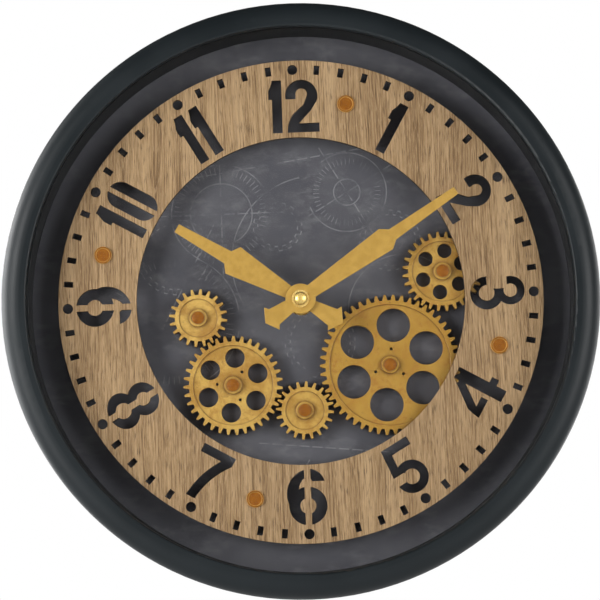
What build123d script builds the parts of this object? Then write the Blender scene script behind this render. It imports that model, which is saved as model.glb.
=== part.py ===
from build123d import *
import os
from math import acos, cos, pi, radians, sin, tan

os.makedirs("parts", exist_ok=True)

# A round wall clock. The wall is the plane y = 0, the front looks along -Y and 12 o'clock is +Z.
# Every level is a distance in front of the wall. All sizes are in millimetres and degrees.

# Running and seating clearances
running_fit = 0.06
slip_fit = 0.02
end_play = 0.3

# Rim
rim_radius = 200
rim_back_inset = 2.5
rim_back_taper = 10
rim_depth = 70
rim_rounding = 13
rim_skirt = 4.5
lip_overhang = 5.6
lip_height = 5.5
lip_rounding = 1.6
rim_wall = 12
pocket_clearance = 0.5

# Dial board, printed sheet, spacer and glass
board_level = 24
board_thickness = 5
sheet_thickness = 0.4
glass_thickness = 3
glass_edge = 0.4
spacer_wall = 5

# Retaining tabs and wood screws
tab_count = 6
tab_start = 30
tab_length = 14
tab_width = 13
tab_thickness = 1.2
tab_edge = 1
tab_screw_inset = 2.6
tab_screw_length = 12
screw_radius = 1.5
screw_head_radius = 3
screw_head_height = 1.8
drive_slot_width = 0.8
drive_slot_depth = 0.8
screw_end_gap = 1

# Keyhole hanger
hanger_inset = 36
hanger_level = 5
hanger_plate_width = 62
hanger_tall = 26
hanger_thickness = 1.2
hanger_foot = 15
hanger_screw_length = 4
keyhole_radius = 5
keyslot_radius = 2.3
keyslot_rise = 9
keyhole_drop = 4

# Chapter ring
ring_margin = 19
ring_width = 52.8
ring_level = 40.5
ring_thickness = 4
mark_inset = 6.5
dot_radius = 3.35
tick_width = 3.75
tick_length = 6.05
hour_count = 12
minutes_per_hour = 5
numeral_inner_margin = 3.4
numeral_outer_margin = 12.7
digit_bridge = 3.3
wide_bridge = 4.3

# Chapter posts
post_inset = 26.6
post_count = 4
post_start = 15
post_radius = 5
post_spigot_radius = 3
post_cap_radius = 5.8
post_cap_height = 1.7
post_cap_dish_radius = 4.35
post_cap_dish_depth = 0.5
post_screw_length = 10

# Decorative gear train; shares, drops and hole circles (distance, radius, first angle) count in modules
ring_modules = 59.8
gear_mesh_gap = 0.4
gear_addendum_share = 0.595
gear_dedendum_share = 1.46
gear_tooth_share = 0.4
gear_level = 31.5
gear_thickness = 7
gear_web_drop = 1
gear_hub_radius = 6
gear_hub_height = 2
drive_drop = 40
drive_phase = 85
small_teeth = 20
medium_teeth = 35
large_teeth = 50
right_teeth = 28
medium_direction = 158.6
small_direction = 115.4
large_direction = 26
right_direction = 58.6
rim_band_share = 1.46
medium_holes = (10, 3.57, 84.2)
large_holes = (14.54, 6.11, 83.1)
right_holes = (7.62, 2.65, 81.5)
hole_count = 6
pin_hole_radius = 0.95
pin_hole_circle = 5.84
pin_hole_count = 3
medium_pin_start = 54.3
large_pin_start = 83.9

# Gear posts
gear_shaft_radius = 3
gear_shoulder_radius = 5
gear_tail_radius = 2
gear_cap_radius = 4.1
gear_cap_height = 1.4
gear_nut_radius = 4.4
gear_nut_height = 3.2

# Time movement
case_size = 58
case_depth = 16
case_wall = 1.5
case_split = 7
gasket_thickness = 1
gasket_radius = 12
battery_bay_height = 17.5
cell_radius = 7.25
cell_length = 50.5
cell_nub_radius = 2.7
cell_nub_length = 1.1
cell_room = 0.25
contact_thickness = 0.5
contact_width = 9
stem_radius = 4
stem_length = 26
stem_washer_radius = 9
stem_washer_thickness = 1
stem_nut_radius = 7
stem_nut_height = 3.5
hour_tube_radius = 2.5
arbor_radius = 1.6
pivot_radius = 0.6
pivot_depth = 0.9
train_module = 0.3
motion_module = 0.4
hour_module = 0.384
wheel_addendum_share = 0.6
wheel_dedendum_share = 1.3
wheel_tooth_share = 0.38
wheel_thickness = 1
pinion_thickness = 1.5
rotor_wheel_drop = 0.5
centre_wheel_lift = 1.5
minute_pinion_lift = 1.1
hour_wheel_lift = 0.4
magnet_lift = 1
centre_teeth = 64
intermediate_teeth = 60
rotor_pinion_teeth = 8
minute_pinion_teeth = 12
motion_teeth = 36
motion_pinion_teeth = 10
hour_teeth = 40
intermediate_direction = 135
rotor_direction = 45
motion_direction = 20
knob_direction = 3.6
rotor_magnet_radius = 3
rotor_magnet_height = 2.4
stator_thickness = 1.2
stator_gap = 0.7
stator_length = 31
stator_height = 9
coil_radius = 2.4
coil_length = 14
coil_flange = 6
coil_inset = 1
board_piece_length = 20
board_piece_height = 9
board_piece_thickness = 1
knob_radius = 5
knob_height = 2.6
knob_gap = 0.5
knob_notches = 12
knob_shaft_radius = 2

# Hands
hour_angle = 302
minute_angle = 57.2
hand_thickness = 0.9
hour_outline = [
    (-32.8, 0),
    (-26.3, 9.3),
    (-24.8, 6.3),
    (0, 2.4),
    (0, 3.1),
    (52.3, 10.25),
    (56.3, 4.7),
    (95.9, 3.05),
    (95.9, 0),
]
minute_outline = [
    (-28.7, 0),
    (-23.4, 9),
    (-21.3, 6.2),
    (0, 3.7),
    (0, 4.2),
    (69.7, 8.25),
    (75.2, 4.15),
    (127.1, 2.7),
    (127.1, 0),
]
hand_hub_radius = 10.1
hour_hand_level = 53
hand_gap = 1.8
hand_nut_radius = 4.5
hand_nut_flange_radius = 5.9
hand_nut_flange_height = 0.9
hand_nut_height = 4
hand_nut_reach = 2.4

# Gear drive
drive_width = 82
drive_top_rise = 22
drive_depth = 18
drive_wall = 1.8
drive_corner = 3
drive_rib_drop = 18.5
cover_thickness = 1.8
gearbox_width = 36
gearbox_tall = 24
gearbox_depth = 9
gearbox_shift = 4
motor_radius = 9
motor_depth = 6
motor_shift = 13
cell_pitch = 15.5
door_width = 58
door_tall = 34.6
door_thickness = 1.5
door_opening_inset = 2
door_play = 0.15
rail_width = 3
rail_lip = 1.5
grip_ribs = 4
switch_side = -22
switch_rise = 15
switch_travel = 4
switch_knob = 3.6
switch_knob_height = 1.6
switch_flange_length = 9
switch_flange_width = 6
switch_flange_thickness = 1.4
switch_body_depth = 5
switch_body_wall = 1.2
bush_radius = 6
bush_flange_radius = 8.5
bush_flange_thickness = 1
lead_radius = 0.8
lead_spacing = 2.6
lead_bend = 4

# Levels and radii that follow from the sizes above
pocket_radius = rim_radius - rim_wall
lip_radius = pocket_radius - lip_overhang
ring_outer_radius = lip_radius - ring_margin
ring_inner_radius = ring_outer_radius - ring_width
mark_radius = ring_outer_radius - mark_inset
numeral_inner_radius = ring_inner_radius + numeral_inner_margin
numeral_outer_radius = ring_outer_radius - numeral_outer_margin
post_circle_radius = ring_outer_radius - post_inset
hanger_height = pocket_radius - hanger_inset
gear_module = ring_inner_radius / ring_modules
gear_addendum = gear_addendum_share * gear_module
gear_dedendum = gear_dedendum_share * gear_module
rim_band = rim_band_share * gear_module
drive_height = -drive_drop * gear_module
drive_top = drive_height + drive_top_rise
drive_rib_height = drive_height - drive_rib_drop
switch_height = drive_height + switch_rise
board_radius = pocket_radius - pocket_clearance
board_front = board_level + board_thickness
dial_level = board_front + sheet_thickness
lip_level = rim_depth - lip_height
glass_level = lip_level - glass_thickness
ring_front = ring_level + ring_thickness
gear_front = gear_level + gear_thickness
hub_front = gear_front + gear_hub_height
gear_cap_level = hub_front + end_play
case_front = board_level - gasket_thickness
case_rear = case_front - case_depth
split_level = case_rear + case_split
inner_front = case_front - case_wall
inner_rear = case_rear + case_wall
stem_front = case_front + stem_length
minute_hand_level = hour_hand_level + hand_thickness + hand_gap
minute_hand_front = minute_hand_level + hand_thickness
drive_floor = board_level - drive_wall
drive_rear = board_level - drive_depth
cover_rear = drive_rear - cover_thickness


def front(level):
    return Plane.XZ.offset(level)


def spot(place, level):
    return Plane(origin=(place[0], -level, place[1]), x_dir=(1, 0, 0), z_dir=(0, -1, 0))


def turned(place):
    return Plane(origin=(place[0], 0, place[1]), x_dir=(1, 0, 0), z_dir=(0, 0, -1))


def spin_axis(place):
    return Axis((place[0], 0, place[1]), (0, 1, 0))


def polar(place, distance, direction):
    x = place[0] + distance * cos(radians(direction))
    return (x, place[1] + distance * sin(radians(direction)))


def clock_point(radius, angle):
    return (radius * sin(radians(angle)), radius * cos(radians(angle)))


def write(piece, name):
    piece.label = name
    export_step(piece, f"parts/{name}.step")


# Gear teeth: straight flanks between the involute's widths at the root and at the tip
pressure_angle = radians(20)


def involute(angle):
    return tan(angle) - angle


def tooth_half_angle(teeth, pitch_radius, share, radius):
    base_radius = pitch_radius * cos(pressure_angle)
    slope = acos(min(1, base_radius / radius))
    return share * pi / teeth + involute(pressure_angle) - involute(slope)


def gear_face(teeth, module, phase, addendum, dedendum, share):
    pitch_radius = teeth * module / 2
    tip_radius = pitch_radius + addendum
    root_radius = pitch_radius - dedendum
    tip_half = tooth_half_angle(teeth, pitch_radius, share, tip_radius)
    root_half = tooth_half_angle(teeth, pitch_radius, share, root_radius)
    step = 2 * pi / teeth

    def point(radius, angle):
        return (radius * cos(angle), radius * sin(angle))

    with BuildSketch() as face:
        with BuildLine():
            for tooth in range(teeth):
                middle = radians(phase) + tooth * step
                foot = point(root_radius, middle - root_half)
                left_foot = point(root_radius, middle + root_half)
                next_foot = point(root_radius, middle + step - root_half)
                tip = point(tip_radius, middle - tip_half)
                left_tip = point(tip_radius, middle + tip_half)
                Polyline(foot, tip, left_tip, left_foot)
                ThreePointArc(left_foot, point(root_radius, middle + step / 2), next_foot)
        make_face()
    return face.sketch


def mesh_phase(teeth, phase, direction, other_teeth):
    share = (direction - phase) * teeth / 360
    return direction + 180 - (0.5 - share) * 360 / other_teeth


def gear_distance(teeth, other_teeth):
    return gear_module * (teeth + other_teeth) / 2 + gear_mesh_gap


# Gear places and phases
drive_place = (0, drive_height)
medium_place = polar(drive_place, gear_distance(small_teeth, medium_teeth), medium_direction)
small_place = polar(medium_place, gear_distance(medium_teeth, small_teeth), small_direction)
large_place = polar(drive_place, gear_distance(small_teeth, large_teeth), large_direction)
right_place = polar(large_place, gear_distance(large_teeth, right_teeth), right_direction)
medium_phase = mesh_phase(small_teeth, drive_phase, medium_direction, medium_teeth)
small_phase = mesh_phase(medium_teeth, medium_phase, small_direction, small_teeth)
large_phase = mesh_phase(small_teeth, drive_phase, large_direction, large_teeth)
right_phase = mesh_phase(large_teeth, large_phase, right_direction, right_teeth)
idler_places = [small_place, medium_place, large_place, right_place]

# Movement wheel places and phases
wheel_centre = (0, 0)
intermediate_distance = train_module * (centre_teeth + rotor_pinion_teeth) / 2
rotor_distance = train_module * (intermediate_teeth + rotor_pinion_teeth) / 2
motion_distance = motion_module * (minute_pinion_teeth + motion_teeth) / 2
intermediate_place = polar(wheel_centre, intermediate_distance, intermediate_direction)
rotor_place = polar(intermediate_place, rotor_distance, rotor_direction)
motion_place = polar(wheel_centre, motion_distance, motion_direction)
knob_place = polar(motion_place, motion_distance, knob_direction)
intermediate_phase = mesh_phase(centre_teeth, 0, intermediate_direction, rotor_pinion_teeth)
rotor_phase = mesh_phase(intermediate_teeth, 0, rotor_direction, rotor_pinion_teeth)
motion_phase = mesh_phase(minute_pinion_teeth, 0, motion_direction, motion_teeth)
knob_phase = mesh_phase(motion_teeth, motion_phase, knob_direction, minute_pinion_teeth)
hour_phase = mesh_phase(motion_pinion_teeth, motion_phase, motion_direction + 180, hour_teeth)
rotor_pinion_level = split_level - wheel_thickness - rotor_wheel_drop
centre_wheel_level = split_level + centre_wheel_lift
minute_pinion_level = centre_wheel_level + wheel_thickness + minute_pinion_lift
hour_wheel_level = minute_pinion_level + pinion_thickness + hour_wheel_lift

# Chapter post, tab and screw places
post_places = [clock_point(post_circle_radius, post_start + 360 / post_count * n) for n in range(post_count)]
tab_angles = [tab_start + 360 / tab_count * n for n in range(tab_count)]
tab_outer = rim_radius - rim_skirt - tab_edge
tab_screw_radius = tab_outer - tab_screw_inset
hanger_foot_centre = hanger_plate_width / 2 + hanger_foot / 2
hanger_screw_places = [(side * hanger_foot_centre, hanger_height) for side in (-1, 1)]


# Rim with a rear skirt, a pocket for the dial stack and a lip in front of the glass
with BuildPart() as rim:
    with BuildSketch(turned((0, 0))):
        with BuildLine():
            skirt_radius = rim_radius - rim_skirt
            lip_top = rim_depth - lip_rounding
            rim_side = (rim_radius, rim_depth - rim_rounding)
            crest = (rim_radius - rim_rounding, rim_depth)
            Polyline(
                (skirt_radius, board_level),
                (skirt_radius, 0),
                (rim_radius - rim_back_inset, 0),
                (rim_radius, rim_back_taper),
                rim_side,
            )
            TangentArc(rim_side, crest, tangent=(0, 1))
            Line(crest, (lip_radius + lip_rounding, rim_depth))
            RadiusArc((lip_radius + lip_rounding, rim_depth), (lip_radius, lip_top), -lip_rounding)
            Polyline(
                (lip_radius, lip_top),
                (lip_radius, lip_level),
                (pocket_radius, lip_level),
                (pocket_radius, board_level),
                (skirt_radius, board_level),
            )
        make_face()
    revolve(axis=Axis.Y)
    with BuildSketch(front(board_level)):
        for angle in tab_angles:
            with Locations(clock_point(tab_screw_radius, angle)):
                Circle(screw_radius + slip_fit)
    extrude(amount=tab_screw_length, mode=Mode.SUBTRACT)
write(rim.part, "frame_ring")

# Glass with a ground edge
with BuildPart() as glass:
    with BuildSketch(front(glass_level)):
        Circle(board_radius)
    extrude(amount=glass_thickness)
    chamfer(glass.edges().filter_by(GeomType.CIRCLE), glass_edge)
write(glass.part, "glass_lens")

# Spacer between the dial and the glass
with BuildPart() as spacer:
    with BuildSketch(front(dial_level)):
        Circle(board_radius)
        Circle(board_radius - spacer_wall, mode=Mode.SUBTRACT)
    extrude(amount=glass_level - dial_level)
write(spacer.part, "glass_spacer")


# Holes that pass the board and the printed sheet
def dial_holes():
    with BuildSketch() as holes:
        with Locations(wheel_centre):
            Circle(stem_radius + running_fit)
        with Locations(drive_place):
            Circle(bush_radius + slip_fit)
        with Locations(*idler_places):
            Circle(gear_tail_radius + slip_fit)
        with Locations(*post_places):
            Circle(screw_radius + slip_fit)
    return holes.sketch


with BuildPart() as board:
    with BuildSketch(front(board_level)):
        Circle(board_radius)
        add(dial_holes(), mode=Mode.SUBTRACT)
        with Locations(*hanger_screw_places):
            Circle(screw_radius + slip_fit, mode=Mode.SUBTRACT)
    extrude(amount=board_thickness)
write(board.part, "dial_board")

with BuildPart() as sheet:
    with BuildSketch(front(board_front)):
        Circle(board_radius)
        add(dial_holes(), mode=Mode.SUBTRACT)
    extrude(amount=sheet_thickness)
write(sheet.part, "dial_face")

# Steel tabs that bridge the board and the rim
with BuildPart() as tabs:
    for angle in tab_angles:
        reach = clock_point(1, angle)
        tab_plane = Plane(
            origin=(0, -board_level + tab_thickness, 0), x_dir=(reach[0], 0, reach[1]), z_dir=(0, -1, 0)
        )
        with BuildSketch(tab_plane):
            with Locations((tab_outer - tab_length / 2, 0)):
                RectangleRounded(tab_length, tab_width, tab_edge)
            with Locations((tab_screw_radius, 0)):
                Circle(screw_radius + slip_fit, mode=Mode.SUBTRACT)
        extrude(amount=tab_thickness)
write(tabs.part, "retaining_tabs")


# Pan-head screw driven from behind; the head sits under the seat level
def rear_screws(places, seat_level, length):
    with BuildPart() as screws:
        for place in places:
            with BuildSketch(spot(place, seat_level - screw_head_height)):
                Circle(screw_head_radius)
            extrude(amount=screw_head_height)
            with BuildSketch(spot(place, seat_level)):
                Circle(screw_radius)
            extrude(amount=length)
            with BuildSketch(spot(place, seat_level - screw_head_height)):
                Rectangle(2 * screw_radius, drive_slot_width)
                Rectangle(drive_slot_width, 2 * screw_radius)
            extrude(amount=drive_slot_depth, mode=Mode.SUBTRACT)
    return screws.part


tab_screw_places = [clock_point(tab_screw_radius, angle) for angle in tab_angles]
tab_seat = board_level - tab_thickness
write(rear_screws(tab_screw_places, tab_seat, tab_screw_length - screw_end_gap), "tab_screws")

# Hat-section keyhole hanger on the back of the board
with BuildPart() as hanger:
    half_plate = hanger_plate_width / 2
    outer_end = half_plate + hanger_foot
    bend_in = half_plate - hanger_thickness
    foot_rear = board_level - hanger_thickness
    plate_front = hanger_level + hanger_thickness
    hanger_section = Plane(
        origin=(0, 0, hanger_height - hanger_tall / 2), x_dir=(1, 0, 0), z_dir=(0, 0, 1)
    )
    with BuildSketch(hanger_section):
        with BuildLine():
            Polyline(
                (0, -hanger_level),
                (half_plate, -hanger_level),
                (half_plate, -foot_rear),
                (outer_end, -foot_rear),
                (outer_end, -board_level),
                (bend_in, -board_level),
                (bend_in, -plate_front),
                (0, -plate_front),
                (0, -hanger_level),
            )
        make_face()
        mirror(about=Plane.YZ)
    extrude(amount=hanger_tall)
    entry_height = hanger_height - keyhole_drop
    with BuildSketch(spot((0, entry_height), hanger_level)):
        Circle(keyhole_radius)
        with Locations((0, keyslot_rise / 2)):
            Rectangle(2 * keyslot_radius, keyslot_rise)
        with Locations((0, keyslot_rise)):
            Circle(keyslot_radius)
    extrude(amount=hanger_thickness, mode=Mode.SUBTRACT)
    with BuildSketch(front(foot_rear)):
        with Locations(*hanger_screw_places):
            Circle(screw_radius + slip_fit)
    extrude(amount=hanger_thickness, mode=Mode.SUBTRACT)
write(hanger.part, "hanger_bracket")
hanger_screw_reach = hanger_thickness + hanger_screw_length
write(rear_screws(hanger_screw_places, foot_rear, hanger_screw_reach), "hanger_screws")

# Stencil digits, drawn from the middle of the foot, about 36 mm tall
with BuildSketch() as zero:
    with Locations((0, 18)):
        SlotOverall(36, 18, rotation=90)
        Rectangle(digit_bridge, 40, mode=Mode.SUBTRACT)

with BuildSketch() as one:
    with BuildLine():
        Polyline((-5.5, 29), (-5.5, 23), (-3.3, 23), (-3.3, 0), (3.3, 0), (3.3, 36), (-2.9, 36))
        ThreePointArc((-2.9, 36), (-3.9, 32.3), (-5.5, 29))
    make_face()

with BuildSketch() as two:
    with BuildLine():
        ThreePointArc((-11, 22.9), (-0.2, 35.9), (9.8, 20.9))
        Polyline((9.8, 20.9), (5.7, 14.7), (-2.5, 6.2), (11.3, 6.2), (11.3, 0), (-10.2, 0))
        ThreePointArc((-10.2, 0), (-9, 7.4), (-6.1, 12.7))
        Polyline((-6.1, 12.7), (1, 18.8), (3.6, 25))
        ThreePointArc((3.6, 25), (-0.25, 30.1), (-4.1, 25))
        Polyline((-4.1, 25), (-4.35, 22.9), (-11, 22.9))
    make_face()

with BuildSketch() as three:
    with Locations((-1.4, 27.2)):
        Circle(9.6)
    with Locations((-0.1, 11.2)):
        Circle(11.1)
    with Locations((-1.4, 27.2)):
        Circle(4.6, mode=Mode.SUBTRACT)
    with Locations((-0.1, 11.2)):
        Circle(5.3, mode=Mode.SUBTRACT)
    with Locations((-7.4, 18.2)):
        Rectangle(9.2, 13.6, mode=Mode.SUBTRACT)

with BuildSketch() as four:
    with Locations((6, 17.7)):
        Rectangle(8.2, 35.4)
    with Locations((12, 10.3)):
        Rectangle(4.4, 5.2)
    with BuildLine():
        Polyline(
            (2, 35.4), (-12.6, 17), (-14.4, 8.2), (-1.1, 8.2), (-1.1, 13.1), (-8.4, 13.1), (2, 26.8),
            (2, 35.4),
        )
    make_face()

with BuildSketch() as five:
    with Locations((0.2, 10.9)):
        Circle(11.1)
        Circle(5.3, mode=Mode.SUBTRACT)
    with Locations((-7.4, 12.7)):
        Rectangle(8.8, 6.4, mode=Mode.SUBTRACT)
    with BuildLine():
        Polyline(
            (-8.9, 35.8),
            (10.9, 35.8),
            (10.9, 29.8),
            (-3.8, 29.8),
            (-4.8, 21),
            (-3.4, 15.9),
            (-11.2, 15.9),
            (-8.9, 35.8),
        )
    make_face()

with BuildSketch() as six:
    with BuildLine():
        ThreePointArc((-12.7, 14), (-10, 31.5), (0, 37.2))
        ThreePointArc((0, 37.2), (7.6, 34.8), (11.4, 29))
        Line((11.4, 29), (3.3, 29))
        ThreePointArc((3.3, 29), (0, 31.4), (-4, 29.2))
        ThreePointArc((-4, 29.2), (-5.8, 25), (-6, 20))
        Line((-6, 20), (-12.7, 14))
    make_face()
    with Locations((0, 12.6)):
        Circle(12.7)
        Circle(5.4, mode=Mode.SUBTRACT)
    with Locations((0, 18)):
        Rectangle(wide_bridge, 42, mode=Mode.SUBTRACT)

with BuildSketch() as seven:
    with BuildLine():
        Polyline((3.5, 29.9), (-11.8, 29.9), (-11.8, 36), (11.8, 36), (11.6, 29.9))
        ThreePointArc((11.6, 29.9), (4.4, 18.7), (-0.6, 0))
        Line((-0.6, 0), (-7, 0))
        ThreePointArc((-7, 0), (-2.2, 19.4), (3.5, 29.9))
    make_face()

with BuildSketch() as eight:
    with Locations((0, 10.4)):
        Ellipse(12.5, 10.4)
    with Locations((0, 26)):
        Ellipse(11.3, 10.2)
    with Locations((0, 10.4)):
        Circle(5.4, mode=Mode.SUBTRACT)
    with Locations((0, 26)):
        Circle(4.6, mode=Mode.SUBTRACT)
    with Locations((0, 18)):
        Rectangle(wide_bridge, 42, mode=Mode.SUBTRACT)

with BuildSketch() as nine:
    with Locations(Location((0, 37.2), 180)):
        add(six.sketch)

# Each hour's digits with the sideways place of each; the lower hours read from the outside in
numerals = {
    1: [(one, 0)],
    2: [(two, 0)],
    3: [(three, 0)],
    4: [(four, 0)],
    5: [(five, 0)],
    6: [(six, 0)],
    7: [(seven, 0)],
    8: [(eight, 0)],
    9: [(nine, 0)],
    10: [(one, -9.5), (zero, 6.2)],
    11: [(one, -4.6), (one, 6.9)],
    12: [(one, -11.2), (two, 5.8)],
}
hours_read_inward = (4, 5, 6, 7, 8)


def numeral_plane(hour):
    angle = hour * 360 / hour_count
    outward = clock_point(1, angle)
    if hour in hours_read_inward:
        foot = clock_point(numeral_outer_radius, angle)
        right = (-outward[1], outward[0])
    else:
        foot = clock_point(numeral_inner_radius, angle)
        right = (outward[1], -outward[0])
    return Plane(origin=(foot[0], -ring_level, foot[1]), x_dir=(right[0], 0, right[1]), z_dir=(0, -1, 0))


# Wooden chapter ring with its cut-outs
with BuildPart() as chapter:
    with BuildSketch(front(ring_level)):
        Circle(ring_outer_radius)
        Circle(ring_inner_radius, mode=Mode.SUBTRACT)
        with PolarLocations(mark_radius, hour_count):
            Circle(dot_radius, mode=Mode.SUBTRACT)
        for minute in range(1, minutes_per_hour):
            with PolarLocations(mark_radius, hour_count, minute * 360 / hour_count / minutes_per_hour):
                Rectangle(tick_length, tick_width, mode=Mode.SUBTRACT)
        with Locations(*post_places):
            Circle(post_spigot_radius + slip_fit, mode=Mode.SUBTRACT)
    extrude(amount=ring_thickness)
    for hour, digits in numerals.items():
        with BuildSketch(numeral_plane(hour)):
            for digit, shift in digits:
                with Locations((shift, 0)):
                    add(digit.sketch)
        extrude(amount=ring_thickness, mode=Mode.SUBTRACT)
write(chapter.part, "chapter_ring")

# Posts, caps and screws that carry the chapter ring
with BuildPart() as chapter_posts:
    for place in post_places:
        with BuildSketch(spot(place, dial_level)):
            Circle(post_radius)
        extrude(amount=ring_level - dial_level)
        with BuildSketch(spot(place, ring_level)):
            Circle(post_spigot_radius)
        extrude(amount=ring_thickness)
        with BuildSketch(spot(place, dial_level)):
            Circle(screw_radius + slip_fit)
        extrude(amount=post_screw_length, mode=Mode.SUBTRACT)
write(chapter_posts.part, "chapter_posts")

with BuildPart() as chapter_caps:
    for place in post_places:
        with BuildSketch(turned(place)):
            with BuildLine():
                cap_top = ring_front + post_cap_height
                dish_floor = cap_top - post_cap_dish_depth
                edge_round = post_cap_dish_depth
                Polyline((0, dish_floor), (0, ring_front), (post_cap_radius, ring_front))
                edge_start = (post_cap_radius, cap_top - edge_round)
                Line((post_cap_radius, ring_front), edge_start)
                RadiusArc(edge_start, (post_cap_radius - edge_round, cap_top), -edge_round)
                Polyline(
                    (post_cap_radius - edge_round, cap_top),
                    (post_cap_dish_radius + post_cap_dish_depth, cap_top),
                    (post_cap_dish_radius, dish_floor),
                    (0, dish_floor),
                )
            make_face()
        revolve(axis=spin_axis(place))
write(chapter_caps.part, "chapter_caps")

post_screw_reach = dial_level - board_level + post_screw_length - screw_end_gap
write(rear_screws(post_places, board_level, post_screw_reach), "chapter_screws")


# One decorative gear: raised toothed rim, lower web and a hub on the front
def train_gear(place, teeth, phase, bore, holes, pin_start):
    root_radius = teeth * gear_module / 2 - gear_dedendum
    web_radius = root_radius - rim_band
    outline = gear_face(teeth, gear_module, phase, gear_addendum, gear_dedendum, gear_tooth_share)
    with BuildPart() as gear:
        with BuildSketch(spot(place, gear_level)):
            add(outline)
        extrude(amount=gear_thickness)
        with BuildSketch(spot(place, gear_front - gear_web_drop)):
            Circle(web_radius)
        extrude(amount=gear_web_drop, mode=Mode.SUBTRACT)
        with BuildSketch(spot(place, gear_front - gear_web_drop)):
            Circle(gear_hub_radius)
        extrude(amount=gear_web_drop + gear_hub_height)
        hub_edge = gear.faces().sort_by(Axis.Y)[0].edges()
        chamfer(hub_edge, gear_web_drop / 2)
        with BuildSketch(spot(place, gear_level)):
            Circle(bore)
            if holes:
                with PolarLocations(holes[0] * gear_module, hole_count, holes[2]):
                    Circle(holes[1] * gear_module)
            if pin_start:
                with PolarLocations(pin_hole_circle * gear_module, pin_hole_count, pin_start):
                    Circle(pin_hole_radius)
        extrude(amount=gear_thickness + gear_hub_height, mode=Mode.SUBTRACT)
    return gear.part


idler_bore = gear_shaft_radius + running_fit
drive_bore = gear_shaft_radius + slip_fit
write(train_gear(small_place, small_teeth, small_phase, idler_bore, None, None), "small_gear_left")
write(
    train_gear(medium_place, medium_teeth, medium_phase, idler_bore, medium_holes, medium_pin_start),
    "medium_gear_left",
)
write(train_gear(drive_place, small_teeth, drive_phase, drive_bore, None, None), "drive_gear")
write(
    train_gear(large_place, large_teeth, large_phase, idler_bore, large_holes, large_pin_start), "large_gear"
)
write(train_gear(right_place, right_teeth, right_phase, idler_bore, right_holes, None), "right_gear")

# Fixed posts on which the idle gears turn, with nuts behind the board
with BuildPart() as gear_posts:
    for place in idler_places:
        with BuildSketch(spot(place, board_level - gear_nut_height)):
            Circle(gear_tail_radius)
        extrude(amount=dial_level - board_level + gear_nut_height)
        with BuildSketch(spot(place, dial_level)):
            Circle(gear_shoulder_radius)
        extrude(amount=gear_level - end_play - dial_level)
        with BuildSketch(spot(place, gear_level - end_play)):
            Circle(gear_shaft_radius)
        extrude(amount=gear_cap_level - gear_level + end_play)
write(gear_posts.part, "gear_posts")

with BuildPart() as gear_nuts:
    for place in idler_places:
        with BuildSketch(spot(place, board_level - gear_nut_height)):
            RegularPolygon(gear_nut_radius, 6)
            Circle(gear_tail_radius + slip_fit, mode=Mode.SUBTRACT)
        extrude(amount=gear_nut_height)
write(gear_nuts.part, "gear_post_nuts")


# Round cap with a softened edge on the end of a post or shaft
def round_caps(places):
    with BuildPart() as caps:
        for place in places:
            with BuildSketch(turned(place)):
                with BuildLine():
                    cap_front = gear_cap_level + gear_cap_height
                    cap_shoulder = cap_front - gear_cap_height / 2
                    TangentArc((0, cap_front), (gear_cap_radius, cap_shoulder), tangent=(1, 0))
                    Polyline(
                        (gear_cap_radius, cap_shoulder),
                        (gear_cap_radius, gear_cap_level),
                        (0, gear_cap_level),
                        (0, cap_front),
                    )
                make_face()
            revolve(axis=spin_axis(place))
    return caps.part


write(round_caps(idler_places), "gear_post_caps")
write(round_caps([drive_place]), "drive_gear_cap")


# Wheel or pinion disc of the time movement
def wheel_face(teeth, module, phase):
    addendum = wheel_addendum_share * module
    dedendum = wheel_dedendum_share * module
    return gear_face(teeth, module, phase, addendum, dedendum, wheel_tooth_share)


bay_top = -case_size / 2 + battery_bay_height
cell_height = -case_size / 2 + battery_bay_height / 2
cell_level = case_rear + cell_radius + cell_room
upper_height = case_size - battery_bay_height
upper_middle = (0, bay_top + upper_height / 2)
bay_middle = (0, cell_height)
cavity_size = (case_size - 2 * case_wall, upper_height - 2 * case_wall)
bay_length = cell_length + cell_nub_length + 2 * contact_thickness + 2 * cell_room
bay_tall = 2 * (cell_radius + cell_room)
pivot_places = [intermediate_place, rotor_place]

# Front half of the movement case, with the open battery bay and the threaded stem
with BuildPart() as front_case:
    with BuildSketch(spot(upper_middle, split_level)):
        Rectangle(case_size, upper_height)
    extrude(amount=case_front - split_level)
    with BuildSketch(spot(bay_middle, case_rear)):
        Rectangle(case_size, battery_bay_height)
    extrude(amount=case_depth)
    fillet(front_case.edges().filter_by(Axis.Y).group_by(Axis.Z)[0], case_wall)
    with BuildSketch(spot(upper_middle, split_level)):
        Rectangle(*cavity_size)
    extrude(amount=inner_front - split_level, mode=Mode.SUBTRACT)
    with BuildSketch(spot(bay_middle, case_rear)):
        Rectangle(bay_length, bay_tall)
    extrude(amount=2 * cell_radius + 2 * cell_room, mode=Mode.SUBTRACT)
    with BuildSketch(front(case_front)):
        Circle(stem_radius)
    extrude(amount=stem_length)
    with BuildSketch(front(inner_front)):
        Circle(hour_tube_radius + running_fit)
    extrude(amount=stem_front - inner_front, mode=Mode.SUBTRACT)
    with BuildSketch(front(inner_front)):
        with Locations(*pivot_places, knob_place):
            Circle(pivot_radius + running_fit)
    extrude(amount=pivot_depth, mode=Mode.SUBTRACT)
    with BuildSketch(spot(motion_place, minute_pinion_level - end_play)):
        Circle(pivot_radius)
    extrude(amount=inner_front - minute_pinion_level + end_play)
write(front_case.part, "movement_front_case")

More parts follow.
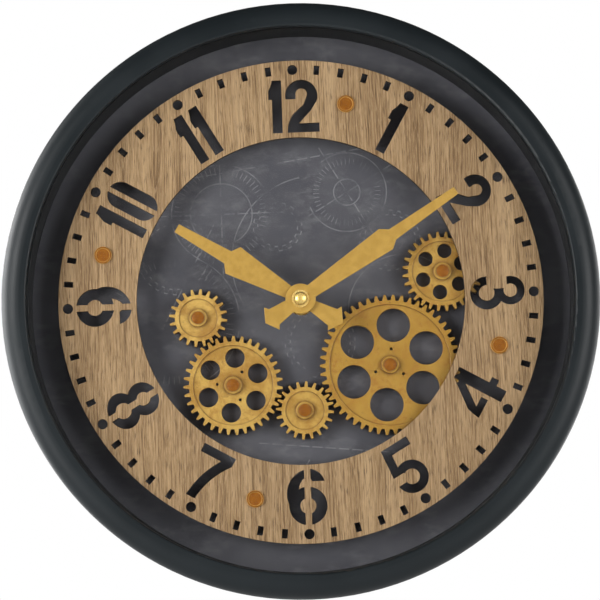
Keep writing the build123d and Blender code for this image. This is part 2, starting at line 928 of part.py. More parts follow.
# Rear half of the movement case over the wheels
with BuildPart() as rear_case:
    with BuildSketch(spot(upper_middle, case_rear)):
        Rectangle(case_size, upper_height)
    extrude(amount=case_split)
    fillet(rear_case.edges().filter_by(Axis.Y).group_by(Axis.Z)[-1], case_wall)
    with BuildSketch(spot(upper_middle, inner_rear)):
        Rectangle(*cavity_size)
    extrude(amount=split_level - inner_rear, mode=Mode.SUBTRACT)
    with BuildSketch(front(inner_rear)):
        with Locations(wheel_centre, *pivot_places):
            Circle(pivot_radius + running_fit)
    extrude(amount=-pivot_depth, mode=Mode.SUBTRACT)
    with BuildSketch(spot(knob_place, case_rear)):
        Circle(knob_shaft_radius + running_fit)
    extrude(amount=case_wall, mode=Mode.SUBTRACT)
write(rear_case.part, "movement_rear_case")

with BuildPart() as gasket:
    with BuildSketch(front(case_front)):
        Circle(gasket_radius)
        Circle(stem_radius + running_fit, mode=Mode.SUBTRACT)
    extrude(amount=gasket_thickness)
write(gasket.part, "movement_gasket")

with BuildPart() as stem_washer:
    with BuildSketch(front(dial_level)):
        Circle(stem_washer_radius)
        Circle(stem_radius + running_fit, mode=Mode.SUBTRACT)
    extrude(amount=stem_washer_thickness)
write(stem_washer.part, "stem_washer")

with BuildPart() as stem_nut:
    with BuildSketch(front(dial_level + stem_washer_thickness)):
        RegularPolygon(stem_nut_radius, 6)
        Circle(stem_radius + slip_fit, mode=Mode.SUBTRACT)
    extrude(amount=stem_nut_height)
write(stem_nut.part, "stem_nut")

# Minute arbor with the centre wheel and the minute pinion
arbor_rear = inner_rear - pivot_depth + running_fit
arbor_front = minute_hand_front + hand_nut_reach
with BuildPart() as minute_arbor:
    with BuildSketch(front(arbor_rear)):
        Circle(pivot_radius)
    extrude(amount=centre_wheel_level - arbor_rear)
    with BuildSketch(front(centre_wheel_level)):
        add(wheel_face(centre_teeth, train_module, 0))
    extrude(amount=wheel_thickness)
    with BuildSketch(front(centre_wheel_level)):
        Circle(arbor_radius)
    extrude(amount=arbor_front - centre_wheel_level)
    with BuildSketch(front(minute_pinion_level)):
        add(wheel_face(minute_pinion_teeth, motion_module, 0))
    extrude(amount=pinion_thickness)
write(minute_arbor.part, "minute_arbor")

# Hour wheel with its tube through the stem
hour_tube_front = hour_hand_level + hand_thickness
with BuildPart() as hour_wheel:
    with BuildSketch(front(hour_wheel_level)):
        add(wheel_face(hour_teeth, hour_module, hour_phase))
    extrude(amount=wheel_thickness)
    with BuildSketch(front(hour_wheel_level)):
        Circle(hour_tube_radius)
    extrude(amount=hour_tube_front - hour_wheel_level)
    with BuildSketch(front(hour_wheel_level)):
        Circle(arbor_radius + running_fit)
    extrude(amount=hour_tube_front - hour_wheel_level, mode=Mode.SUBTRACT)
write(hour_wheel.part, "hour_wheel")

# Motion wheel and its pinion, on the pin of the front case
motion_front = hour_wheel_level + wheel_thickness
with BuildPart() as motion_wheel:
    with BuildSketch(spot(motion_place, minute_pinion_level)):
        add(wheel_face(motion_teeth, motion_module, motion_phase))
    extrude(amount=wheel_thickness)
    with BuildSketch(spot(motion_place, minute_pinion_level)):
        add(wheel_face(motion_pinion_teeth, hour_module, motion_phase))
    extrude(amount=motion_front - minute_pinion_level)
    with BuildSketch(spot(motion_place, minute_pinion_level)):
        Circle(pivot_radius + running_fit)
    extrude(amount=motion_front - minute_pinion_level, mode=Mode.SUBTRACT)
write(motion_wheel.part, "motion_wheel")

# Arbors that run between the two case walls
pivot_span = inner_front + pivot_depth - running_fit - arbor_rear
with BuildPart() as intermediate:
    with BuildSketch(spot(intermediate_place, arbor_rear)):
        Circle(pivot_radius)
    extrude(amount=pivot_span)
    with BuildSketch(spot(intermediate_place, rotor_pinion_level)):
        add(wheel_face(intermediate_teeth, train_module, 0))
    extrude(amount=wheel_thickness)
    with BuildSketch(spot(intermediate_place, rotor_pinion_level)):
        add(wheel_face(rotor_pinion_teeth, train_module, intermediate_phase))
    extrude(amount=centre_wheel_level + pinion_thickness - rotor_pinion_level)
write(intermediate.part, "intermediate_wheel")

magnet_level = inner_rear + magnet_lift
with BuildPart() as rotor:
    with BuildSketch(spot(rotor_place, arbor_rear)):
        Circle(pivot_radius)
    extrude(amount=pivot_span)
    with BuildSketch(spot(rotor_place, rotor_pinion_level)):
        add(wheel_face(rotor_pinion_teeth, train_module, rotor_phase))
    extrude(amount=pinion_thickness)
    with BuildSketch(spot(rotor_place, magnet_level)):
        Circle(rotor_magnet_radius)
    extrude(amount=rotor_magnet_height)
write(rotor.part, "step_rotor")

# Hand-setting knob behind the case, with its pinion on the motion wheel
with BuildPart() as set_knob:
    knob_rear = case_rear - knob_gap - knob_height
    with BuildSketch(spot(knob_place, knob_rear)):
        Circle(knob_radius)
        with PolarLocations(knob_radius, knob_notches):
            Circle(knob_radius / knob_notches, mode=Mode.SUBTRACT)
    extrude(amount=knob_height)
    with BuildSketch(spot(knob_place, knob_rear)):
        Circle(knob_shaft_radius)
    extrude(amount=minute_pinion_level - knob_rear)
    with BuildSketch(spot(knob_place, minute_pinion_level)):
        add(wheel_face(minute_pinion_teeth, motion_module, knob_phase))
    extrude(amount=wheel_thickness)
    with BuildSketch(spot(knob_place, minute_pinion_level)):
        Circle(pivot_radius)
    extrude(amount=inner_front + pivot_depth - running_fit - minute_pinion_level)
write(set_knob.part, "set_knob")

# Step motor iron, coil and circuit board on the rear wall
stator_left = rotor_place[0] - stator_height / 2 - stator_gap
stator_middle = (stator_left + stator_length / 2, rotor_place[1])
stator_front = magnet_level + stator_thickness
with BuildPart() as stator:
    with BuildSketch(spot(stator_middle, inner_rear)):
        Rectangle(stator_length, stator_height)
    extrude(amount=stator_front - inner_rear)
    with BuildSketch(spot(rotor_place, inner_rear)):
        Circle(rotor_magnet_radius + stator_gap)
    extrude(amount=stator_front - inner_rear, mode=Mode.SUBTRACT)
write(stator.part, "stator")

coil_right = stator_left + stator_length - coil_inset
coil_left = coil_right - coil_length
with BuildPart() as coil:
    coil_axis_level = stator_front + coil_flange / 2
    coil_start = Plane(
        origin=(coil_left, -coil_axis_level, rotor_place[1]), x_dir=(0, 0, 1), z_dir=(1, 0, 0)
    )
    with BuildSketch(coil_start):
        Circle(coil_radius)
    extrude(amount=coil_length)
    for end in (coil_start, coil_start.offset(coil_length - case_wall)):
        with BuildSketch(end):
            Rectangle(coil_flange, coil_flange)
        extrude(amount=case_wall)
write(coil.part, "coil")

with BuildPart() as circuit:
    circuit_side = case_size / 2 - case_wall - board_piece_length / 2
    circuit_place = (circuit_side, bay_top + case_wall + board_piece_height / 2)
    with BuildSketch(spot(circuit_place, inner_rear)):
        Rectangle(board_piece_length, board_piece_height)
    extrude(amount=board_piece_thickness)
write(circuit.part, "movement_circuit")


# Round dry cell lying along X, with its raised pole at the given side
def lay_cell(place, level, side):
    plane = Plane(
        origin=(place[0] - side * (cell_length + cell_nub_length) / 2, -level, place[1]),
        x_dir=(0, 0, 1),
        z_dir=(side, 0, 0),
    )
    with BuildPart() as cell:
        with BuildSketch(plane):
            Circle(cell_radius)
        extrude(amount=cell_length)
        chamfer(cell.edges().filter_by(GeomType.CIRCLE), cell_room)
        with BuildSketch(plane.offset(cell_length)):
            Circle(cell_nub_radius)
        extrude(amount=cell_nub_length)
    return cell.part


# Flat spring contacts that fill the ends of a battery bay
def end_contacts(heights, level, bay):
    with BuildPart() as contacts:
        for height in heights:
            for side in (-1, 1):
                place = (side * (bay / 2 - contact_thickness / 2), height)
                with BuildSketch(spot(place, level - contact_width / 2)):
                    Rectangle(contact_thickness, contact_width)
                extrude(amount=contact_width)
    return contacts.part


write(lay_cell(bay_middle, cell_level, 1), "time_cell")
write(end_contacts([cell_height], cell_level, bay_length), "time_contacts")


# Flat hand: half an outline from the spade-shaped tail to the thin tip, mirrored, with a round hub
def hand_part(angle, level, bore, outline):
    along = clock_point(1, angle)
    plane = Plane(origin=(0, -level, 0), x_dir=(along[0], 0, along[1]), z_dir=(0, -1, 0))
    with BuildPart() as hand:
        with BuildSketch(plane):
            with BuildLine():
                Polyline(*outline, close=True)
            make_face()
            mirror(about=Plane.XZ)
            Circle(hand_hub_radius)
            Circle(bore, mode=Mode.SUBTRACT)
        extrude(amount=hand_thickness)
    return hand.part


hour_bore = hour_tube_radius + slip_fit
minute_bore = arbor_radius + slip_fit
write(hand_part(hour_angle, hour_hand_level, hour_bore, hour_outline), "hour_hand")
write(hand_part(minute_angle, minute_hand_level, minute_bore, minute_outline), "minute_hand")

# Domed nut that holds the minute hand
with BuildPart() as hand_nut:
    with BuildSketch(turned((0, 0))):
        with BuildLine():
            flange_front = minute_hand_front + hand_nut_flange_height
            dome_front = minute_hand_front + hand_nut_height
            dome_side = (dome_front + 2 * flange_front) / 3
            TangentArc((0, dome_front), (hand_nut_radius, dome_side), tangent=(1, 0))
            Polyline(
                (hand_nut_radius, dome_side),
                (hand_nut_radius, flange_front),
                (hand_nut_flange_radius, flange_front),
                (hand_nut_flange_radius, minute_hand_front),
                (0, minute_hand_front),
                (0, dome_front),
            )
        make_face()
    revolve(axis=Axis.Y)
    with BuildSketch(front(minute_hand_front)):
        Circle(arbor_radius + slip_fit)
    extrude(amount=hand_nut_reach + slip_fit, mode=Mode.SUBTRACT)
write(hand_nut.part, "hand_nut")

# Gear drive: a tray screwed to the back of the board, closed by a cover
rib_thickness = drive_wall
upper_cell_height = drive_rib_height - rib_thickness / 2 - cell_room - cell_radius
lower_cell_height = upper_cell_height - cell_pitch
drive_bottom = lower_cell_height - cell_radius - cell_room - drive_wall
drive_tall = drive_top - drive_bottom
drive_middle = (0, (drive_top + drive_bottom) / 2)
corner_inset = drive_wall + screw_head_radius
drive_corners = [
    (x * (drive_width / 2 - corner_inset), z)
    for x in (-1, 1)
    for z in (drive_top - corner_inset, drive_bottom + corner_inset)
]
drive_bay = cell_length + cell_nub_length + 2 * contact_thickness + 2 * cell_room
drive_cell_level = drive_floor - cell_radius - cell_room

with BuildPart() as drive_case:
    with BuildSketch(spot(drive_middle, drive_rear)):
        RectangleRounded(drive_width, drive_tall, drive_corner)
    extrude(amount=drive_depth)
    with BuildSketch(spot(drive_middle, drive_rear)):
        Rectangle(drive_width - 2 * drive_wall, drive_tall - 2 * drive_wall)
    extrude(amount=drive_depth - drive_wall, mode=Mode.SUBTRACT)
    with BuildSketch(spot((0, drive_rib_height), drive_rear)):
        Rectangle(drive_bay + 2 * rib_thickness, rib_thickness)
    extrude(amount=drive_depth)
    bay_wall_height = drive_rib_height - drive_bottom
    for side in (-1, 1):
        wall_place = (side * (drive_bay + rib_thickness) / 2, drive_bottom + bay_wall_height / 2)
        with BuildSketch(spot(wall_place, drive_rear)):
            Rectangle(rib_thickness, bay_wall_height)
        extrude(amount=drive_depth)
    for corner in drive_corners:
        with BuildSketch(spot(corner, drive_rear)):
            Circle(corner_inset)
        extrude(amount=drive_depth)
    with BuildSketch(spot(drive_middle, drive_rear)):
        RectangleRounded(drive_width, drive_tall, drive_corner)
    extrude(amount=drive_depth, mode=Mode.INTERSECT)
    with BuildSketch(front(drive_rear)):
        with Locations(*drive_corners):
            Circle(screw_radius + slip_fit)
    extrude(amount=drive_depth, mode=Mode.SUBTRACT)
    with BuildSketch(spot(drive_place, drive_floor)):
        Circle(bush_radius + slip_fit)
    extrude(amount=drive_wall, mode=Mode.SUBTRACT)
write(drive_case.part, "drive_case")

# Cover with the switch slot, the battery opening and the door's two rails
door_top = drive_rib_height + door_opening_inset
door_middle = (0, door_top - door_tall / 2)
rail_side = door_width / 2 + door_play
door_rear = cover_rear - door_play - door_thickness
rail_rear = door_rear - door_play - rail_lip
switch_place = (switch_side, switch_height)
slot_middle = (switch_side + switch_travel / 2, switch_height)
slot_size = (switch_knob + switch_travel + 2 * running_fit, switch_knob + 2 * running_fit)

with BuildPart() as drive_cover:
    with BuildSketch(spot(drive_middle, cover_rear)):
        RectangleRounded(drive_width, drive_tall, drive_corner)
        with Locations(*[(x, z - drive_middle[1]) for x, z in drive_corners]):
            Circle(screw_radius + slip_fit, mode=Mode.SUBTRACT)
    extrude(amount=cover_thickness)
    with BuildSketch(spot(door_middle, cover_rear)):
        Rectangle(door_width - 2 * door_opening_inset, door_tall - 2 * door_opening_inset)
    extrude(amount=cover_thickness, mode=Mode.SUBTRACT)
    with BuildSketch(spot(slot_middle, cover_rear)):
        Rectangle(*slot_size)
    extrude(amount=cover_thickness, mode=Mode.SUBTRACT)
    for side in (-1, 1):
        with BuildSketch(spot((side * (rail_side + rail_width / 2), door_middle[1]), rail_rear)):
            Rectangle(rail_width, door_tall)
        extrude(amount=cover_rear - rail_rear)
        with BuildSketch(spot((side * (rail_side + rail_width / 2 - rail_lip), door_middle[1]), rail_rear)):
            Rectangle(rail_width, door_tall)
        extrude(amount=rail_lip)
write(drive_cover.part, "drive_cover")
drive_screw_reach = drive_depth + cover_thickness - screw_end_gap
write(rear_screws(drive_corners, cover_rear, drive_screw_reach), "drive_case_screws")

with BuildPart() as door:
    with BuildSketch(spot(door_middle, door_rear)):
        Rectangle(door_width, door_tall)
    extrude(amount=door_thickness)
    for rib in range(grip_ribs):
        rib_place = (0, door_top - door_tall / 2 - door_thickness * 2 * (rib - grip_ribs / 2))
        with BuildSketch(spot(rib_place, door_rear - door_thickness / 2)):
            Rectangle(door_width / 4, door_thickness)
        extrude(amount=door_thickness / 2)
write(door.part, "battery_door")

# Geared motor inside the tray, its shaft through the board and the bush round it
with BuildPart() as gearmotor:
    gearbox_rear = drive_floor - gearbox_depth
    with BuildSketch(spot((gearbox_shift, drive_height), gearbox_rear)):
        RectangleRounded(gearbox_width, gearbox_tall, drive_corner)
    extrude(amount=gearbox_depth)
    with BuildSketch(spot((motor_shift, drive_height), gearbox_rear - motor_depth)):
        Circle(motor_radius)
    extrude(amount=motor_depth)
    with BuildSketch(spot(drive_place, gearbox_rear + drive_wall)):
        Circle(gear_shaft_radius + running_fit)
    extrude(amount=gearbox_depth - drive_wall, mode=Mode.SUBTRACT)
write(gearmotor.part, "gearmotor")

shaft_rear = gearbox_rear + drive_wall + running_fit
with BuildPart() as drive_shaft:
    with BuildSketch(spot(drive_place, shaft_rear)):
        Circle(gear_shaft_radius)
    extrude(amount=gear_cap_level - shaft_rear)
write(drive_shaft.part, "drive_shaft")

with BuildPart() as bush:
    with BuildSketch(spot(drive_place, drive_floor)):
        Circle(bush_radius)
    extrude(amount=dial_level - drive_floor)
    with BuildSketch(spot(drive_place, dial_level)):
        Circle(bush_flange_radius)
    extrude(amount=bush_flange_thickness)
    with BuildSketch(spot(drive_place, drive_floor)):
        Circle(gear_shaft_radius + running_fit)
    extrude(amount=dial_level + bush_flange_thickness - drive_floor, mode=Mode.SUBTRACT)
write(bush.part, "drive_bush")

# Two cells the opposite way round and their contacts
upper_cell = lay_cell((0, upper_cell_height), drive_cell_level, 1)
lower_cell = lay_cell((0, lower_cell_height), drive_cell_level, -1)
with BuildPart() as drive_cells:
    add(upper_cell)
    add(lower_cell)
write(drive_cells.part, "drive_cells")
write(end_contacts([upper_cell_height, lower_cell_height], drive_cell_level, drive_bay), "drive_contacts")

# Slide switch under the cover
flange_level = drive_rear + running_fit
body_level = flange_level + switch_flange_thickness + running_fit
with BuildPart() as slider:
    with BuildSketch(spot(switch_place, flange_level)):
        Rectangle(switch_flange_length, switch_flange_width)
    extrude(amount=switch_flange_thickness)
    with BuildSketch(spot(switch_place, cover_rear - switch_knob_height)):
        Rectangle(switch_knob, switch_knob)
    extrude(amount=flange_level - cover_rear + switch_knob_height)
write(slider.part, "switch_slider")

with BuildPart() as switch_body:
    pocket_length = switch_flange_length + switch_travel + 2 * running_fit
    pocket_width = switch_flange_width + 2 * running_fit
    body_size = (pocket_length + 2 * switch_body_wall, pocket_width + 2 * switch_body_wall)
    with BuildSketch(spot(slot_middle, drive_rear)):
        Rectangle(*body_size)
    extrude(amount=switch_body_depth)
    with BuildSketch(spot(slot_middle, drive_rear)):
        Rectangle(pocket_length, pocket_width)
    extrude(amount=body_level - drive_rear, mode=Mode.SUBTRACT)
write(switch_body.part, "switch_body")

# Two leads from the switch along the tray and down to the motor
with BuildPart() as leads:
    lead_level = drive_rear + switch_body_depth - lead_radius * 2
    switch_right = slot_middle[0] + body_size[0] / 2
    motor_top = drive_height + motor_radius + end_play
    for lane in (-0.5, 0.5):
        lead_height = switch_height + lane * lead_spacing
        lead_side = motor_shift + lane * lead_spacing
        with BuildLine(spot((0, 0), lead_level)) as route:
            lead_points = [(switch_right, lead_height), (lead_side, lead_height), (lead_side, motor_top)]
            FilletPolyline(*lead_points, radius=lead_bend)
        lead_start = Plane(
            origin=(switch_right, -lead_level, lead_height), x_dir=(0, 0, 1), z_dir=(1, 0, 0)
        )
        with BuildSketch(lead_start):
            Circle(lead_radius)
        sweep(path=route.line)
write(leads.part, "motor_leads")
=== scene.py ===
import bpy
from math import cos, pi, radians, sin
from mathutils import Matrix, Vector


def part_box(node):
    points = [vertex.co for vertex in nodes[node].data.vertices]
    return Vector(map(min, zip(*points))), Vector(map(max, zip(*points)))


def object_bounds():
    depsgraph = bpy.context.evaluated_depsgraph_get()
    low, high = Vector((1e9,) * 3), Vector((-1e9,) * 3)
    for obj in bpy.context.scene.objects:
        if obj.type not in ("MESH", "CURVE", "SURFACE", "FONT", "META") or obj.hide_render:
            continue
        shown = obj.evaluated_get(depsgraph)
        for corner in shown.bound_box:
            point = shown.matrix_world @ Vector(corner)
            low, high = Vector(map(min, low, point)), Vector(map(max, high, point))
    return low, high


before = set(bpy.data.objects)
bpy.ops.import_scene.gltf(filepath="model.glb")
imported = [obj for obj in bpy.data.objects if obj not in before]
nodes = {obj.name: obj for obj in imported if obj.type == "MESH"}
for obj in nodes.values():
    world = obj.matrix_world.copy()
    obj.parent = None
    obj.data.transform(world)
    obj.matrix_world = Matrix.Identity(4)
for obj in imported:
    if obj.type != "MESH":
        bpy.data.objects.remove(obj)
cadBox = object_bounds()
scene = bpy.context.scene
scene.view_settings.view_transform = "Standard"
print("frame loaded:", len(nodes), "nodes")

mm = 0.001
white = (1, 1, 1, 1)
midNoise = (0.3, 0.7)  # most of a noise texture's values lie between these


def fromSrgb(red, green, blue):
    # 0-255 screen colour to Blender's linear colour
    def linear(value):
        value = value / 255
        return value / 12.92 if value <= 0.04045 else ((value + 0.055) / 1.055) ** 2.4
    return (linear(red), linear(green), linear(blue), 1)


# short calls for the nodes that the finishes and the surround share
class NodeTree:

    def __init__(self, tree):
        self.tree = tree

    def node(self, kind, **settings):
        made = self.tree.nodes.new(kind)
        for key, value in settings.items():
            setattr(made, key, value)
        return made

    def feed(self, socket, value):
        if isinstance(value, bpy.types.NodeSocket):
            self.tree.links.new(value, socket)
        else:
            socket.default_value = value

    def math(self, operation, first, second=0.0):
        made = self.node("ShaderNodeMath", operation=operation)
        self.feed(made.inputs[0], first)
        self.feed(made.inputs[1], second)
        return made.outputs[0]

    def highest(self, first, *others):
        for other in others:
            first = self.math("MAXIMUM", first, other)
        return first

    def length(self, x, z):
        return self.math("SQRT", self.math("ADD", self.math("MULTIPLY", x, x), self.math("MULTIPLY", z, z)))

    def range(self, value, low, high, newLow=0.0, newHigh=1.0):
        made = self.node("ShaderNodeMapRange", interpolation_type="SMOOTHSTEP")
        for socket, amount in zip(made.inputs, (value, low, high, newLow, newHigh)):
            self.feed(socket, amount)
        return made.outputs[0]

    def parts(self, vector):
        made = self.node("ShaderNodeSeparateXYZ")
        self.feed(made.inputs[0], vector)
        return made.outputs


# one node material
class Finish(NodeTree):

    def __init__(self, name):
        self.material = bpy.data.materials.new(name)
        self.material.use_nodes = True
        super().__init__(self.material.node_tree)
        self.shader = self.tree.nodes["Principled BSDF"]
        self.output = self.tree.nodes["Material Output"]
        self.coord = self.node("ShaderNodeTexCoord").outputs["Object"]

    def put(self, socketName, value):
        self.feed(self.shader.inputs[socketName], value)

    def stretched(self, scale, turn=(0, 0, 0)):
        # object coordinates in metres, scaled to a pattern's own repeat
        mapping = self.node("ShaderNodeMapping")
        self.feed(mapping.inputs["Vector"], self.coord)
        mapping.inputs["Rotation"].default_value = turn
        mapping.inputs["Scale"].default_value = scale
        return mapping.outputs[0]

    def noise(self, vector, scale, detail=3.0, rough=0.5, distortion=0.0):
        # the scale counts repeats in a metre, unless the vector is stretched already
        made = self.node("ShaderNodeTexNoise")
        self.feed(made.inputs["Vector"], vector)
        made.inputs["Scale"].default_value = scale
        made.inputs["Detail"].default_value = detail
        made.inputs["Roughness"].default_value = rough
        made.inputs["Distortion"].default_value = distortion
        return made.outputs["Fac"]

    def ramp(self, value, *stops):
        made = self.node("ShaderNodeValToRGB")
        self.feed(made.inputs[0], value)
        elements = made.color_ramp.elements
        while len(elements) < len(stops):
            elements.new(1)
        for element, (place, colour) in zip(elements, stops):
            element.position = place
            element.color = colour
        return made.outputs["Color"]

    def mix(self, factor, first, second):
        made = self.node("ShaderNodeMix", data_type="RGBA")
        for index, value in ((0, factor), (6, first), (7, second)):  # the colour sockets of this node
            self.feed(made.inputs[index], value)
        return made.outputs[2]

    def bump(self, height, strength, distance):
        made = self.node("ShaderNodeBump")
        made.inputs["Strength"].default_value = strength
        made.inputs["Distance"].default_value = distance
        self.feed(made.inputs["Height"], height)
        self.put("Normal", made.outputs[0])

    def facing(self):
        # how far the surface faces the front or the back: 1 on flat faces, 0 on cut edges
        geometry = self.node("ShaderNodeNewGeometry")
        turned = self.node("ShaderNodeVectorTransform", vector_type="NORMAL",
                           convert_from="WORLD", convert_to="OBJECT")
        self.feed(turned.inputs[0], geometry.outputs["True Normal"])
        return self.math("ABSOLUTE", self.parts(turned.outputs[0])[1])

    def dress(self, *names):
        for name in names:
            slots = nodes[name].data.materials
            slots.clear()
            slots.append(self.material)


# In the dictionaries below a noise is (scale, detail, roughness), an "At" pair is the part of a noise over
# which something comes in, a "Share" is how much of it, and a relief is (strength, depth in metres).

# rim: satin black lacquer with a cold tint
rimLook = {
    "colour": fromSrgb(32, 38, 41),
    "haze": fromSrgb(42, 49, 53),
    "cloud": (18, 4),
    "peel": (700, 2),
    "dust": (2600, 1),
    "hazeAt": (0.35, 0.75),
    "hazeShare": 0.35,
    "dustAt": (0.7, 0.82),
    "dustShare": 0.25,
    "roughness": (0.4, 0.52),
    "specular": 0.32,
    "relief": (0.12, 0.2 * mm),
}


def makeRim():
    look = rimLook
    rim = Finish("rimLacquer")
    cloud = rim.noise(rim.coord, *look["cloud"])
    peel = rim.noise(rim.coord, *look["peel"])
    dust = rim.range(rim.noise(rim.coord, *look["dust"]), *look["dustAt"], 0, look["dustShare"])
    lacquer = rim.mix(rim.range(cloud, *look["hazeAt"], 0, look["hazeShare"]), look["colour"], look["haze"])
    rim.put("Base Color", rim.mix(dust, lacquer, look["haze"]))
    rim.put("Roughness", rim.range(cloud, *midNoise, *look["roughness"]))
    rim.put("Specular IOR Level", look["specular"])
    rim.bump(peel, *look["relief"])
    rim.dress("frame_ring")


# spacer: black card
spacerLook = {
    "card": fromSrgb(20, 21, 22),
    "fibre": fromSrgb(35, 36, 38),
    "stretch": (500, 500, 60),
    "cardTo": 0.3,
    "fibreFrom": 0.75,
    "roughness": 0.85,
    "specular": 0.2,
    "relief": (0.3, 0.15 * mm),
}


def makeSpacer():
    look = spacerLook
    card = Finish("spacerCard")
    fibre = card.noise(card.stretched(look["stretch"]), 1)
    tone = card.ramp(fibre, (look["cardTo"], look["card"]), (look["fibreFrom"], look["fibre"]))
    card.put("Base Color", tone)
    card.put("Roughness", look["roughness"])
    card.put("Specular IOR Level", look["specular"])
    card.bump(fibre, *look["relief"])
    card.dress("glass_spacer")


# front glass, a little smeared
glassLook = {"smear": (14, 4, 0.6), "smearAt": (0.45, 0.8), "roughness": (0.0, 0.025), "bend": 1.12}


def makeGlass():
    look = glassLook
    pane = Finish("frontGlass")
    smear = pane.noise(pane.coord, *look["smear"])
    pane.put("Base Color", white)
    pane.put("Roughness", pane.range(smear, *look["smearAt"], *look["roughness"]))
    pane.put("IOR", look["bend"])
    pane.put("Transmission Weight", 1.0)
    # light still reaches the dial through the pane
    clear = pane.node("ShaderNodeBsdfTransparent")
    path = pane.node("ShaderNodeLightPath").outputs
    both = pane.node("ShaderNodeMixShader")
    pane.feed(both.inputs[0], pane.highest(path["Is Shadow Ray"], path["Is Diffuse Ray"]))
    pane.feed(both.inputs[1], pane.shader.outputs[0])
    pane.feed(both.inputs[2], clear.outputs[0])
    pane.feed(pane.output.inputs["Surface"], both.outputs[0])
    pane.dress("glass_lens")


# dial: slate print with faint drawing-office lines, sizes in millimetres from the clock's centre
dialLook = {
    "slate": fromSrgb(101, 101, 106),
    "slateDark": fromSrgb(82, 82, 88),
    "slateLight": fromSrgb(122, 121, 125),
    "chalk": fromSrgb(152, 152, 155),
    "chalkShare": 0.7,
    "lineWidth": 0.55,
    "lineCore": 0.35,  # share of the width that is drawn at full strength
    "dashRepeat": 9,
    "dashGap": 0.22,
    "tickShare": 0.16,
    "toothSlope": 0.45,
    # centre x, centre z, radius, share of the circle that is drawn, first angle
    "circles": [
        (-52, 62, 34, 0.62, 20),
        (-52, 62, 21, 1, 0),
        (34, 74, 27, 0.8, 200),
        (34, 74, 9, 1, 0),
        (-88, -10, 46, 0.35, 300),
        (12, 28, 58, 0.3, 100),
        (70, -8, 38, 0.4, 40),
        (-24, -92, 30, 0.5, 150),
    ],
    # centre x, centre z, radius, teeth, half depth of a tooth
    "cogs": [(-14, 52, 15, 16, 1.5), (62, 40, 19, 22, 1.6), (-84, 34, 24, 26, 1.8), (12, -28, 22, 24, 1.7)],
    # centre x, centre z, half length, direction in degrees
    "rules": [
        (-52, 62, 44, 0),
        (-52, 62, 44, 90),
        (34, 74, 36, 30),
        (34, 74, 36, 120),
        (-10, 96, 60, 8),
        (-76, 20, 40, 62),
        (20, -100, 52, -6),
    ],
    # centre x, centre z, radius, half width of the band of ticks, ticks in a turn
    "scales": [(-52, 62, 29.5, 2.4, 60), (34, 74, 21, 2, 48), (-88, -10, 40, 2.6, 72)],
    "cloud": (16, 5, 0.6),
    "scrub": (1, 5, 0.7),
    "scrubStretch": (50, 50, 90),
    "scrubTurn": 35,
    "scrubAt": (0.45, 0.75),
    "scrubShare": 0.75,
    "speck": (900, 2),
    "speckAt": (0.62, 0.8),
    "speckShare": 0.3,
    "wear": (45, 4, 0.7),
    "wearAt": (0.36, 0.62),
    "glossAt": (0.3, 0.8),
    "roughness": (0.62, 0.8),
    "specular": 0.25,
    "relief": (0.1, 0.1 * mm),
}


def fromCentre(dial, x, z):
    return dial.math("SUBTRACT", dial.across, x * mm), dial.math("SUBTRACT", dial.up, z * mm)


def chalkLine(dial, away):
    # full strength where the distance from the line is nothing
    width = dialLook["lineWidth"] * mm
    return dial.range(dial.math("ABSOLUTE", away), width * dialLook["lineCore"], width, 1, 0)


def drawnCircle(dial, centreX, centreZ, radius, share, start):
    x, z = fromCentre(dial, centreX, centreZ)
    line = chalkLine(dial, dial.math("SUBTRACT", dial.length(x, z), radius * mm))
    if share == 1:
        return line
    angle = dial.math("DIVIDE", dial.math("ARCTAN2", z, x), 2 * pi)
    turn = dial.math("FRACT", dial.math("ADD", angle, 2 - start / 360))
    return dial.math("MULTIPLY", line, dial.math("LESS_THAN", turn, share))


def drawnCog(dial, centreX, centreZ, radius, teeth, depth):
    x, z = fromCentre(dial, centreX, centreZ)
    wave = dial.math("SINE", dial.math("MULTIPLY", dial.math("ARCTAN2", z, x), teeth))
    # a steep wave gives flat tips and flat roots
    slope = dialLook["toothSlope"]
    edge = dial.range(wave, -slope, slope, (radius - depth) * mm, (radius + depth) * mm)
    return chalkLine(dial, dial.math("SUBTRACT", dial.length(x, z), edge))


def drawnRule(dial, centreX, centreZ, half, direction):
    x, z = fromCentre(dial, centreX, centreZ)
    c, s = cos(radians(direction)), sin(radians(direction))
    along = dial.math("ADD", dial.math("MULTIPLY", x, c), dial.math("MULTIPLY", z, s))
    aside = dial.math("SUBTRACT", dial.math("MULTIPLY", z, c), dial.math("MULTIPLY", x, s))
    step = dial.math("FRACT", dial.math("MULTIPLY", along, 1 / (dialLook["dashRepeat"] * mm)))
    dash = dial.math("GREATER_THAN", step, dialLook["dashGap"])
    inside = dial.math("LESS_THAN", dial.math("ABSOLUTE", along), half * mm)
    return dial.math("MULTIPLY", dial.math("MULTIPLY", chalkLine(dial, aside), dash), inside)


def drawnScale(dial, centreX, centreZ, radius, band, ticks):
    x, z = fromCentre(dial, centreX, centreZ)
    turn = dial.math("MULTIPLY", dial.math("DIVIDE", dial.math("ARCTAN2", z, x), 2 * pi), ticks)
    step = dial.math("FRACT", dial.math("ADD", turn, ticks))
    tick = dial.math("LESS_THAN", step, dialLook["tickShare"])
    away = dial.math("ABSOLUTE", dial.math("SUBTRACT", dial.length(x, z), radius * mm))
    return dial.math("MULTIPLY", tick, dial.math("LESS_THAN", away, band * mm))


